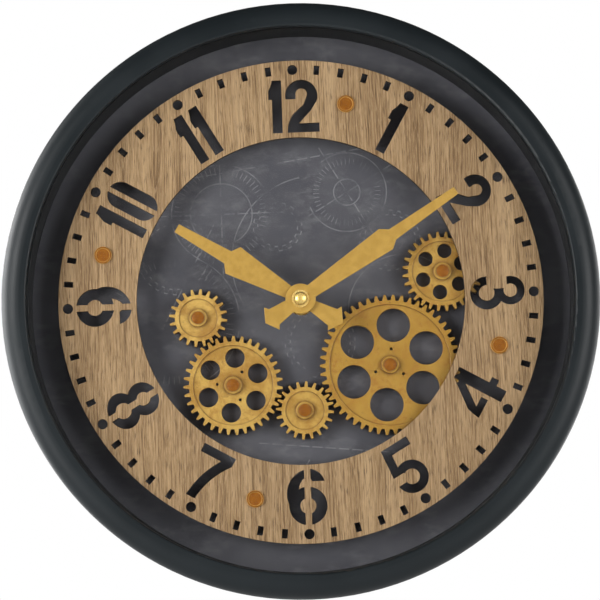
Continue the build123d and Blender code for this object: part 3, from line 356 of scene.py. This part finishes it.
def makeDial():
    look = dialLook
    dial = Finish("dialSlate")
    dial.across, _, dial.up = dial.parts(dial.coord)
    marks = [drawnCircle(dial, *row) for row in look["circles"]]
    marks += [drawnCog(dial, *row) for row in look["cogs"]]
    marks += [drawnRule(dial, *row) for row in look["rules"]]
    marks += [drawnScale(dial, *row) for row in look["scales"]]
    drawing = dial.highest(*marks)
    cloud = dial.noise(dial.coord, *look["cloud"])
    scrubbed = dial.stretched(look["scrubStretch"], turn=(0, radians(look["scrubTurn"]), 0))
    scrub = dial.noise(scrubbed, *look["scrub"])
    speck = dial.noise(dial.coord, *look["speck"])
    # the chalk breaks up where the print is worn
    wear = dial.range(dial.noise(dial.coord, *look["wear"]), *look["wearAt"])
    slate = dial.mix(dial.range(cloud, *midNoise), look["slateDark"], look["slate"])
    slate = dial.mix(dial.range(scrub, *look["scrubAt"], 0, look["scrubShare"]), slate, look["slateLight"])
    slate = dial.mix(dial.range(speck, *look["speckAt"], 0, look["speckShare"]), slate, look["slateLight"])
    chalked = dial.math("MULTIPLY", dial.math("MULTIPLY", drawing, wear), look["chalkShare"])
    dial.put("Base Color", dial.mix(chalked, slate, look["chalk"]))
    dial.put("Roughness", dial.range(scrub, *look["glossAt"], *look["roughness"]))
    dial.put("Specular IOR Level", look["specular"])
    dial.bump(speck, *look["relief"])
    dial.dress("dial_face")


# chapter ring: oak with upright grain and dark cut edges
oakLook = {
    "pale": fromSrgb(203, 170, 127),
    "stripe": fromSrgb(206, 173, 131),
    "middle": fromSrgb(170, 138, 98),
    "deep": fromSrgb(118, 90, 60),
    "pore": fromSrgb(80, 58, 37),
    "cutEdge": fromSrgb(52, 38, 26),
    "swayStretch": (7, 1, 2.4),
    "swayWidth": 26,  # millimetres that the grain wanders to the side
    "boardStretch": (16, 1, 0.8),
    # a pattern's length along the grain is its width divided by its squeeze
    "bandSqueeze": 0.018,
    "fineSqueeze": 0.032,
    "strokeSqueeze": 0.065,
    "bands": (130, 4, 0.6),
    "stripes": (62, 3, 0.55),
    "fine": (900, 4, 0.7),
    "strokes": (1500, 2, 0.5),
    "bandShare": 0.35,  # of the tone, the rest is the fine grain
    "deepTo": 0.39,
    "middleAt": 0.48,
    "paleFrom": 0.59,
    "boardAt": (0.35, 0.7),
    "boardShare": 0.22,
    "stripeAt": (0.54, 0.68),
    "stripeShare": 0.5,
    "fleckAt": (0.33, 0.45),
    "fleckShare": 0.6,
    "poreAt": (0.55, 0.68),
    "poreShare": 0.75,
    "poreBandAt": (0.35, 0.6),
    "poreBandShare": (0.4, 1),
    "faceAt": (0.3, 0.8),
    "roughness": (0.66, 0.52),
    "specular": 0.3,
    "toneRelief": 0.5,
    "relief": (0.35, 0.25 * mm),
}


def makeOak():
    look = oakLook
    oak = Finish("ringOak")
    across, _, up = oak.parts(oak.coord)
    sway = oak.math("SUBTRACT", oak.noise(oak.stretched(look["swayStretch"]), 1), 0.5)
    swayed = oak.math("ADD", across, oak.math("MULTIPLY", sway, look["swayWidth"] * mm))

    def alongGrain(squeeze):
        made = oak.node("ShaderNodeCombineXYZ")
        oak.feed(made.inputs[0], swayed)
        oak.feed(made.inputs[2], oak.math("MULTIPLY", up, squeeze))
        return made.outputs[0]

    grain = alongGrain(look["bandSqueeze"])
    bands = oak.noise(grain, *look["bands"])
    stripes = oak.noise(grain, *look["stripes"])
    board = oak.noise(oak.stretched(look["boardStretch"]), 1, 1)
    fine = oak.noise(alongGrain(look["fineSqueeze"]), *look["fine"])
    # short strokes along the grain: dark pores where they are high, pale flecks where they are low
    strokes = oak.noise(alongGrain(look["strokeSqueeze"]), *look["strokes"])
    poreBands = oak.range(bands, *look["poreBandAt"], *look["poreBandShare"])
    pores = oak.math("MULTIPLY", oak.range(strokes, *look["poreAt"]), poreBands)
    flecks = oak.range(strokes, *look["fleckAt"], look["fleckShare"], 0)
    tone = oak.math("ADD", oak.math("MULTIPLY", bands, look["bandShare"]),
                    oak.math("MULTIPLY", fine, 1 - look["bandShare"]))
    wood = oak.ramp(tone, (look["deepTo"], look["deep"]), (look["middleAt"], look["middle"]),
                    (look["paleFrom"], look["pale"]))
    wood = oak.mix(oak.range(board, *look["boardAt"], 0, look["boardShare"]), wood, look["deep"])
    wood = oak.mix(oak.range(stripes, *look["stripeAt"], 0, look["stripeShare"]), wood, look["stripe"])
    wood = oak.mix(flecks, wood, look["stripe"])
    wood = oak.mix(oak.math("MULTIPLY", pores, look["poreShare"]), wood, look["pore"])
    face = oak.range(oak.facing(), *look["faceAt"])
    oak.put("Base Color", oak.mix(face, look["cutEdge"], wood))
    oak.put("Roughness", oak.range(tone, *midNoise, *look["roughness"]))
    oak.put("Specular IOR Level", look["specular"])
    height = oak.math("SUBTRACT", oak.math("MULTIPLY", tone, look["toneRelief"]), pores)
    oak.bump(height, *look["relief"])
    oak.dress("chapter_ring")


# show gears: gold paint with stains, and painted shade in brown in the hollows and on the flanks of the teeth
gearLook = {
    "gold": fromSrgb(222, 182, 94),
    "goldDeep": fromSrgb(178, 134, 56),
    # painted shade for the hollows and tooth flanks, and the colour of real specks
    "shadeAndSpeck": fromSrgb(104, 66, 22),
    "stain": fromSrgb(164, 110, 36),
    "aged": fromSrgb(172, 129, 36),
    "cloud": (46, 5, 0.65),
    "cloudAt": (0.4, 0.62),
    "blot": (170, 5, 0.8, 0.5),
    "blotAt": (0.47, 0.68),
    "newStain": 0.45,
    "agedStain": 0.5,
    "speck": (420, 3, 0.7),
    "speckAt": (0.62, 0.72),
    "speckShare": 0.6,
    "grain": (1400, 2),
    "hollowReach": 3.5,  # millimetres
    "hollowRays": 8,
    "hollowAt": (0.45, 0.95),
    "hollowShare": 0.9,
    "flankAt": (0.2, 0.8),
    "flankShare": 0.75,
    "metallic": 0.1,
    "roughness": (0.42, 0.58),
    "relief": (0.15, 0.15 * mm),
}
# share of the aged tone on each show gear
gearAges = {
    "small_gear_left": 0.0,
    "medium_gear_left": 0.22,
    "drive_gear": 0.35,
    "large_gear": 0.8,
    "right_gear": 0.45,
}


def makeGear(name, age):
    look = gearLook
    gold = Finish("gold_" + name)
    cloud = gold.noise(gold.coord, *look["cloud"])
    blot = gold.noise(gold.coord, *look["blot"])
    grain = gold.noise(gold.coord, *look["grain"])
    # painted shade: the inner corners and the flanks of the teeth are darkened in brown where shade falls;
    # the same brown gives real specks
    corner = gold.node("ShaderNodeAmbientOcclusion", samples=look["hollowRays"])
    corner.inputs["Distance"].default_value = look["hollowReach"] * mm
    hollowShade = gold.range(corner.outputs["AO"], *look["hollowAt"], look["hollowShare"], 0)
    flankShade = gold.range(gold.facing(), *look["flankAt"], look["flankShare"], 0)
    speck = gold.range(gold.noise(gold.coord, *look["speck"]), *look["speckAt"], 0, look["speckShare"])
    stained = gold.range(blot, *look["blotAt"], 0, look["newStain"] + look["agedStain"] * age)
    paint = gold.mix(gold.range(cloud, *look["cloudAt"]), look["gold"], look["goldDeep"])
    paint = gold.mix(age, paint, look["aged"])
    paint = gold.mix(stained, paint, look["stain"])
    # painted shade in the hollows and on the flanks, with specks of dirt, all in one brown
    gold.put("Base Color", gold.mix(gold.highest(hollowShade, flankShade, speck), paint, look["shadeAndSpeck"]))
    gold.put("Metallic", look["metallic"])
    gold.put("Roughness", gold.range(cloud, *midNoise, *look["roughness"]))
    gold.bump(gold.math("ADD", grain, blot), *look["relief"])
    gold.dress(name)


# hands: satin gold paint on sheet
handLook = {
    "gold": fromSrgb(202, 160, 72),
    "goldShade": fromSrgb(188, 147, 60),
    "brush": (220, 4, 0.6),
    "grain": (2200, 2),
    "metallic": 0.15,
    "roughness": (0.4, 0.5),
    "relief": (0.1, 0.06 * mm),
}


def makeHands():
    look = handLook
    gold = Finish("handGold")
    brush = gold.noise(gold.coord, *look["brush"])
    grain = gold.noise(gold.coord, *look["grain"])
    gold.put("Base Color", gold.mix(gold.range(brush, *midNoise), look["goldShade"], look["gold"]))
    gold.put("Metallic", look["metallic"])
    gold.put("Roughness", gold.range(brush, *midNoise, *look["roughness"]))
    gold.bump(grain, *look["relief"])
    gold.dress("hour_hand", "minute_hand")


# caps on the posts: copper-brown paint, with a painted highlight in pale gold on the side edges
capLook = {
    "copper": fromSrgb(160, 98, 18),
    "copperDeep": fromSrgb(136, 78, 10),
    # painted highlight: the pale gold laid on the caps' side edges
    "worn": fromSrgb(222, 178, 96),
    "cloud": (330, 4, 0.7),
    "cloudAt": (0.35, 0.65),
    "faceAt": (0.55, 0.95),
    "metallic": 0.1,
    "roughness": (0.42, 0.6),
    "specular": 0.25,
    "relief": (0.2, 0.12 * mm),
}


def makeCaps():
    look = capLook
    cap = Finish("capCopper")
    cloud = cap.noise(cap.coord, *look["cloud"])
    face = cap.range(cap.facing(), *look["faceAt"])
    paint = cap.mix(cap.range(cloud, *look["cloudAt"]), look["copperDeep"], look["copper"])
    # painted highlight: the side edges take the pale gold, the front and back faces the copper paint
    cap.put("Base Color", cap.mix(face, look["worn"], paint))
    cap.put("Metallic", look["metallic"])
    cap.put("Roughness", cap.range(cloud, *midNoise, *look["roughness"]))
    cap.put("Specular IOR Level", look["specular"])
    cap.bump(cloud, *look["relief"])
    cap.dress("chapter_caps", "gear_post_caps", "drive_gear_cap")


# plain metals: brass turnings, satin posts and zinc-plated steel
metalLook = {
    "turnedBrass": {
        "bright": fromSrgb(226, 196, 120),
        "dull": fromSrgb(196, 158, 84),
        "roughness": (0.2, 0.34),
        "lines": (400, 2600, 400),
        "pieces": ("hand_nut", "stem_nut", "stem_washer", "minute_arbor"),
    },
    "satinPost": {
        "bright": fromSrgb(206, 168, 92),
        "dull": fromSrgb(170, 130, 62),
        "roughness": (0.36, 0.5),
        "lines": (300, 2200, 300),
        "pieces": ("chapter_posts", "gear_posts"),
    },
    "zincSteel": {
        "bright": fromSrgb(172, 174, 177),
        "dull": fromSrgb(138, 140, 143),
        "roughness": (0.4, 0.54),
        "lines": (900, 900, 60),
        "pieces": ("retaining_tabs", "hanger_bracket", "tab_screws", "hanger_screws", "chapter_screws",
                   "drive_case_screws", "gear_post_nuts", "drive_shaft", "time_contacts", "drive_contacts",
                   "stator"),
    },
}
metalSurface = {
    "cloud": (130, 4, 0.6),
    "cloudAt": (0.35, 0.7),
    "lines": (1, 3, 0.6),
    "relief": (0.12, 0.05 * mm),
}


def makeMetal(name, look):
    metal = Finish(name)
    cloud = metal.noise(metal.coord, *metalSurface["cloud"])
    lines = metal.noise(metal.stretched(look["lines"]), *metalSurface["lines"])
    dulled = metal.range(cloud, *metalSurface["cloudAt"])
    metal.put("Base Color", metal.mix(dulled, look["bright"], look["dull"]))
    metal.put("Metallic", 1.0)
    metal.put("Roughness", metal.range(lines, *midNoise, *look["roughness"]))
    metal.bump(lines, *metalSurface["relief"])
    metal.dress(*look["pieces"])


# moulded plastics and small inner pieces
plasticLook = {
    "movementBlack": {
        "colour": fromSrgb(32, 32, 33),
        "worn": fromSrgb(48, 48, 50),
        "roughness": (0.42, 0.52),
        "grain": (1500, 2),
        "relief": 0.15,
        "pieces": ("movement_front_case", "movement_rear_case", "set_knob", "switch_body"),
    },
    "driveBlack": {
        "colour": fromSrgb(38, 38, 40),
        "worn": fromSrgb(54, 54, 56),
        "roughness": (0.5, 0.6),
        "grain": (900, 2),
        "relief": 0.4,
        "pieces": ("drive_case", "drive_cover", "battery_door"),
    },
    "gasketRubber": {
        "colour": fromSrgb(26, 26, 26),
        "worn": fromSrgb(40, 40, 40),
        "roughness": (0.75, 0.85),
        "grain": (700, 2),
        "relief": 0.3,
        "pieces": ("movement_gasket",),
    },
    "wheelAcetal": {
        "colour": fromSrgb(226, 222, 210),
        "worn": fromSrgb(208, 203, 190),
        "roughness": (0.38, 0.48),
        "grain": (1200, 2),
        "relief": 0.1,
        "pieces": ("hour_wheel", "motion_wheel", "intermediate_wheel", "step_rotor", "drive_bush",
                   "gearmotor"),
    },
    "circuitGreen": {
        "colour": fromSrgb(30, 104, 62),
        "worn": fromSrgb(22, 84, 50),
        "roughness": (0.35, 0.45),
        "grain": (800, 2),
        "relief": 0.1,
        "pieces": ("movement_circuit",),
    },
    "switchWhite": {
        "colour": fromSrgb(220, 218, 210),
        "worn": fromSrgb(196, 192, 182),
        "roughness": (0.4, 0.5),
        "grain": (1200, 2),
        "relief": 0.15,
        "pieces": ("switch_slider",),
    },
    "leadRed": {
        "colour": fromSrgb(168, 34, 30),
        "worn": fromSrgb(140, 26, 24),
        "roughness": (0.45, 0.55),
        "grain": (1200, 2),
        "relief": 0.15,
        "pieces": ("motor_leads",),
    },
}
plasticSurface = {"cloud": (40, 3), "wornAt": (0.4, 0.75), "wornShare": 0.5, "depth": 0.15 * mm}


def makePlastic(name, look):
    plastic = Finish(name)
    cloud = plastic.noise(plastic.coord, *plasticSurface["cloud"])
    grain = plastic.noise(plastic.coord, *look["grain"])
    worn = plastic.range(cloud, *plasticSurface["wornAt"], 0, plasticSurface["wornShare"])
    plastic.put("Base Color", plastic.mix(worn, look["colour"], look["worn"]))
    plastic.put("Roughness", plastic.range(cloud, *midNoise, *look["roughness"]))
    plastic.bump(grain, look["relief"], plasticSurface["depth"])
    plastic.dress(*look["pieces"])


# coil: turns of lacquered wire
coilLook = {
    "shade": fromSrgb(96, 44, 22),
    "copper": fromSrgb(190, 98, 52),
    "wire": 0.25,  # millimetres
    "metallic": 0.7,
    "roughness": 0.35,
    "relief": (0.5, 0.1 * mm),
}


def makeCoil():
    look = coilLook
    wire = Finish("coilWire")
    along, _, _ = wire.parts(wire.coord)
    turns = wire.math("ABSOLUTE", wire.math("SINE", wire.math("MULTIPLY", along, pi / (look["wire"] * mm))))
    wire.put("Base Color", wire.mix(turns, look["shade"], look["copper"]))
    wire.put("Metallic", look["metallic"])
    wire.put("Roughness", look["roughness"])
    wire.bump(turns, *look["relief"])
    wire.dress("coil")


# dry cells: plain jackets with a metal end
cellLook = {
    "jacket": fromSrgb(44, 46, 50),
    "band": fromSrgb(188, 138, 62),
    "metal": fromSrgb(190, 190, 192),
    "bandShare": 0.3,  # of the cell's length
    "bareEnd": 1.3,  # millimetres of metal past the jacket
    "tallestSingle": 20,  # a higher node holds two cells, the lower one the other way round
    "scuff": (160, 4, 0.6),
    "scuffAt": (0.6, 0.75),
    "scuffShare": 0.3,
    "jacketMetallic": 0.35,
    "roughness": (0.28, 0.42),
}


def makeCell(name):
    look = cellLook
    low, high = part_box(name)
    bandStart = high.x - (high.x - low.x) * look["bandShare"]
    turnBelow = low.z - mm
    if high.z - low.z > look["tallestSingle"] * mm:
        turnBelow = (low.z + high.z) / 2
    cell = Finish("cell_" + name)
    across, _, up = cell.parts(cell.coord)
    across = cell.math("MULTIPLY", across, cell.math("SIGN", cell.math("SUBTRACT", up, turnBelow)))
    scuff = cell.noise(cell.coord, *look["scuff"])
    onBand = cell.math("GREATER_THAN", across, bandStart)
    pastStart = cell.math("GREATER_THAN", across, low.x + look["bareEnd"] * mm)
    beforeEnd = cell.math("LESS_THAN", across, high.x - look["bareEnd"] * mm)
    onJacket = cell.math("MULTIPLY", pastStart, beforeEnd)
    jacket = cell.mix(onBand, look["jacket"], look["band"])
    jacket = cell.mix(cell.range(scuff, *look["scuffAt"], 0, look["scuffShare"]), jacket, look["metal"])
    cell.put("Base Color", cell.mix(onJacket, look["metal"], jacket))
    cell.put("Metallic", cell.range(onJacket, 0, 1, 1, look["jacketMetallic"]))
    cell.put("Roughness", cell.range(scuff, *midNoise, *look["roughness"]))
    cell.dress(name)


# back board: raw fibreboard
boardLook = {
    "feltDark": fromSrgb(156, 120, 82),
    "feltPale": fromSrgb(182, 146, 106),
    "cloudTone": fromSrgb(160, 120, 80),
    "fleckTone": fromSrgb(104, 72, 44),
    "felt": (1100, 4, 0.7),
    "cloud": (9, 3),
    "cloudAt": (0.35, 0.7),
    "cloudShare": 0.4,
    "fleckStretch": (700, 700, 200),
    "fleckAt": (0.66, 0.74),
    "fleckShare": 0.4,
    "roughness": 0.86,
    "specular": 0.2,
    "relief": (0.18, 0.15 * mm),
}


def makeBoard():
    look = boardLook
    fibre = Finish("rawFibreboard")
    felt = fibre.noise(fibre.coord, *look["felt"])
    cloud = fibre.noise(fibre.coord, *look["cloud"])
    fleck = fibre.noise(fibre.stretched(look["fleckStretch"]), 1, 2)
    tone = fibre.mix(fibre.range(felt, *midNoise), look["feltDark"], look["feltPale"])
    tone = fibre.mix(fibre.range(cloud, *look["cloudAt"], 0, look["cloudShare"]), tone, look["cloudTone"])
    tone = fibre.mix(fibre.range(fleck, *look["fleckAt"], 0, look["fleckShare"]), tone, look["fleckTone"])
    fibre.put("Base Color", tone)
    fibre.put("Roughness", look["roughness"])
    fibre.put("Specular IOR Level", look["specular"])
    fibre.bump(felt, *look["relief"])
    fibre.dress("dial_board")


makeRim()
makeSpacer()
makeGlass()
makeDial()
makeOak()
for name, age in gearAges.items():
    makeGear(name, age)
makeHands()
makeCaps()
for name, look in metalLook.items():
    makeMetal(name, look)
for name, look in plasticLook.items():
    makePlastic(name, look)
makeCoil()
for name in ("time_cell", "drive_cells"):
    makeCell(name)
makeBoard()
print("finishes on", sum(1 for piece in nodes.values() if piece.data.materials), "nodes")

# softened edges on the pieces whose corners catch light, widths in millimetres
edgeWidths = {
    "chapter_ring": 0.25,
    "hour_hand": 0.18,
    "minute_hand": 0.18,
    "movement_rear_case": 0.4,
    "movement_front_case": 0.4,
    "drive_case": 0.4,
    "drive_cover": 0.35,
    "battery_door": 0.3,
    "retaining_tabs": 0.2,
    "hanger_bracket": 0.25,
    "switch_slider": 0.25,
    **{gear: 0.22 for gear in gearAges},
}
edgeLook = {"joinWithin": 0.002, "segments": 2, "sharperThan": 40}  # millimetres, steps, degrees


def softenEdges():
    for name, width in edgeWidths.items():
        piece = nodes[name]
        weld = piece.modifiers.new("joinSeams", "WELD")
        weld.merge_threshold = edgeLook["joinWithin"] * mm
        bevel = piece.modifiers.new("softEdge", "BEVEL")
        bevel.width = width * mm
        bevel.segments = edgeLook["segments"]
        bevel.limit_method = "ANGLE"
        bevel.angle_limit = radians(edgeLook["sharperThan"])
        bevel.use_clamp_overlap = False
        bevel.harden_normals = False


softenEdges()
print("edges softened on", len(edgeWidths), "pieces")

# floor: pale paper under the hanging clock, sizes in metres
floorLook = {
    "drop": 0.6,  # from the rim down to the floor
    "radius": 6.0,
    "corners": 96,
    "pale": (0.34, 0.34, 0.34, 1),
    "toothDark": (0.31, 0.31, 0.31, 1),
    "tooth": (220, 3),
    "roughness": 0.9,
    "specular": 0.1,
    "lift": 0.66,  # brings the lit paper up to white for the camera, fully at the fade's end
    "mirrorShare": 0.6,  # how much of that the lacquer mirrors
    "fade": (0.7, 4.5),
}


def makeFloor():
    look = floorLook
    low, _ = cadBox
    bpy.ops.mesh.primitive_circle_add(vertices=look["corners"], radius=look["radius"], fill_type="NGON",
                                      location=(0, 0, low.z - look["drop"]))
    floor = bpy.context.object
    floor.name = "paleFloor"
    paper = Finish("floorPaper")
    tooth = paper.noise(paper.coord, *look["tooth"])
    paper.put("Base Color", paper.mix(tooth, look["toothDark"], look["pale"]))
    paper.put("Roughness", look["roughness"])
    paper.put("Specular IOR Level", look["specular"])
    paper.put("Emission Color", white)
    # the camera, the lacquer and the glass see a white floor, which still takes the clock's shadow
    path = paper.node("ShaderNodeLightPath").outputs
    mirrored = paper.math("MULTIPLY", path["Is Glossy Ray"], look["mirrorShare"])
    seen = paper.highest(path["Is Camera Ray"], mirrored, path["Is Transmission Ray"])
    far = paper.node("ShaderNodeVectorMath", operation="LENGTH")
    paper.feed(far.inputs[0], paper.coord)
    lift = paper.range(far.outputs["Value"], *look["fade"], look["lift"], 1)
    paper.put("Emission Strength", paper.math("MULTIPLY", seen, lift))
    floor.data.materials.append(paper.material)


# surround: white to the camera, dim as a light, with a white panel on each side that the lacquer mirrors
surroundLook = {
    "dim": 0.05,
    # strength of a panel, and how far its middle lies to the right and downward
    "panels": {"left": (8.0, -0.95, 0.3), "right": (1.2, 0.8, 0.6)},
    "panelEdge": (0.4, 0.95),
    # from front to back, where the panels begin and where they end
    "panelBegins": (-0.35, 0.45),
    "panelEnds": (0.4, 0.75),
    "nearAxis": 0.02,
}


def makeSurround():
    look = surroundLook
    world = bpy.data.worlds.new("studio")
    world.use_nodes = True
    scene.world = world
    sky = NodeTree(world.node_tree)
    x, y, z = sky.parts(sky.node("ShaderNodeTexCoord").outputs["Generated"])
    aside = sky.highest(sky.length(x, z), look["nearAxis"])
    rightward = sky.math("DIVIDE", x, aside)
    downward = sky.math("DIVIDE", sky.math("MULTIPLY", z, -1), aside)
    panels = 0.0
    for strength, right, down in look["panels"].values():
        toward = sky.math("ADD", sky.math("MULTIPLY", rightward, right), sky.math("MULTIPLY", downward, down))
        panels = sky.math("ADD", panels, sky.range(toward, *look["panelEdge"], 0, strength))
    depth = sky.math("MULTIPLY", sky.range(y, *look["panelBegins"]), sky.range(y, *look["panelEnds"], 1, 0))
    path = sky.node("ShaderNodeLightPath").outputs
    mirrored = sky.math("MULTIPLY", sky.math("MULTIPLY", panels, depth), path["Is Glossy Ray"])
    studio = sky.tree.nodes["Background"]
    sky.feed(studio.inputs["Color"], white)
    sky.feed(studio.inputs["Strength"], sky.math("ADD", mirrored, look["dim"]))
    backdrop = sky.node("ShaderNodeBackground")
    sky.feed(backdrop.inputs["Color"], white)
    sky.feed(backdrop.inputs["Strength"], 1)
    both = sky.node("ShaderNodeMixShader")
    sky.feed(both.inputs[0], sky.highest(path["Is Camera Ray"], path["Is Transmission Ray"]))
    sky.feed(both.inputs[1], studio.outputs[0])
    sky.feed(both.inputs[2], backdrop.outputs[0])
    sky.feed(sky.tree.nodes["World Output"].inputs["Surface"], both.outputs[0])


# lamps: a large softbox on each side, half to the front, and two behind; places in metres
lampLook = {
    "leftBox": {"place": (-1.36, -1.12, 0.12), "size": (0.8, 1.1), "power": 22},
    "rightBox": {"place": (1.4, -1.25, 0.12), "size": (1.0, 1.2), "power": 17},
    "leftBackBox": {"place": (-1.15, 1.35, 0.0), "size": (2.6, 1.4), "power": 25},
    "rightBackBox": {"place": (1.0, 1.6, 0.0), "size": (2.6, 1.4), "power": 19},
}


def makeLamps():
    for name, look in lampLook.items():
        lamp = bpy.data.lights.new(name, "AREA")
        lamp.shape = "RECTANGLE"
        lamp.size, lamp.size_y = look["size"]
        lamp.energy = look["power"]
        holder = bpy.data.objects.new(name, lamp)
        scene.collection.objects.link(holder)
        holder.location = look["place"]
        holder.rotation_euler = (-Vector(look["place"])).to_track_quat("-Z", "Y").to_euler()


# camera: a little below the clock, the clock hangs turned by a small angle
cameraLook = {
    "distance": 1.64,
    "below": 5.0,  # degrees
    "aside": 0.4,
    "roll": 2.14,
    "rimShare": 0.999,  # of the picture's width
    "aim": (-0.0004, -0.0587, -0.0011),
    "sensor": 36,
}


def makeCamera():
    look = cameraLook
    _, high = cadBox
    data = bpy.data.cameras.new("photoCamera")
    camera = bpy.data.objects.new("photoCamera", data)
    scene.collection.objects.link(camera)
    scene.camera = camera
    data.dof.use_dof = False
    below, aside = radians(look["below"]), radians(look["aside"])
    back = Vector((sin(aside) * cos(below), -cos(aside) * cos(below), -sin(below)))
    camera.location = Vector(look["aim"]) + back * look["distance"]
    level = (-back).to_track_quat("-Z", "Y").to_matrix()
    camera.rotation_euler = (level @ Matrix.Rotation(-radians(look["roll"]), 3, "Z")).to_euler()
    halfWidth = high.x / look["rimShare"]
    data.sensor_width = look["sensor"]
    data.lens = look["sensor"] / 2 * look["distance"] / halfWidth


makeFloor()
makeSurround()
makeLamps()
makeCamera()
print("stage, lamps and camera set")
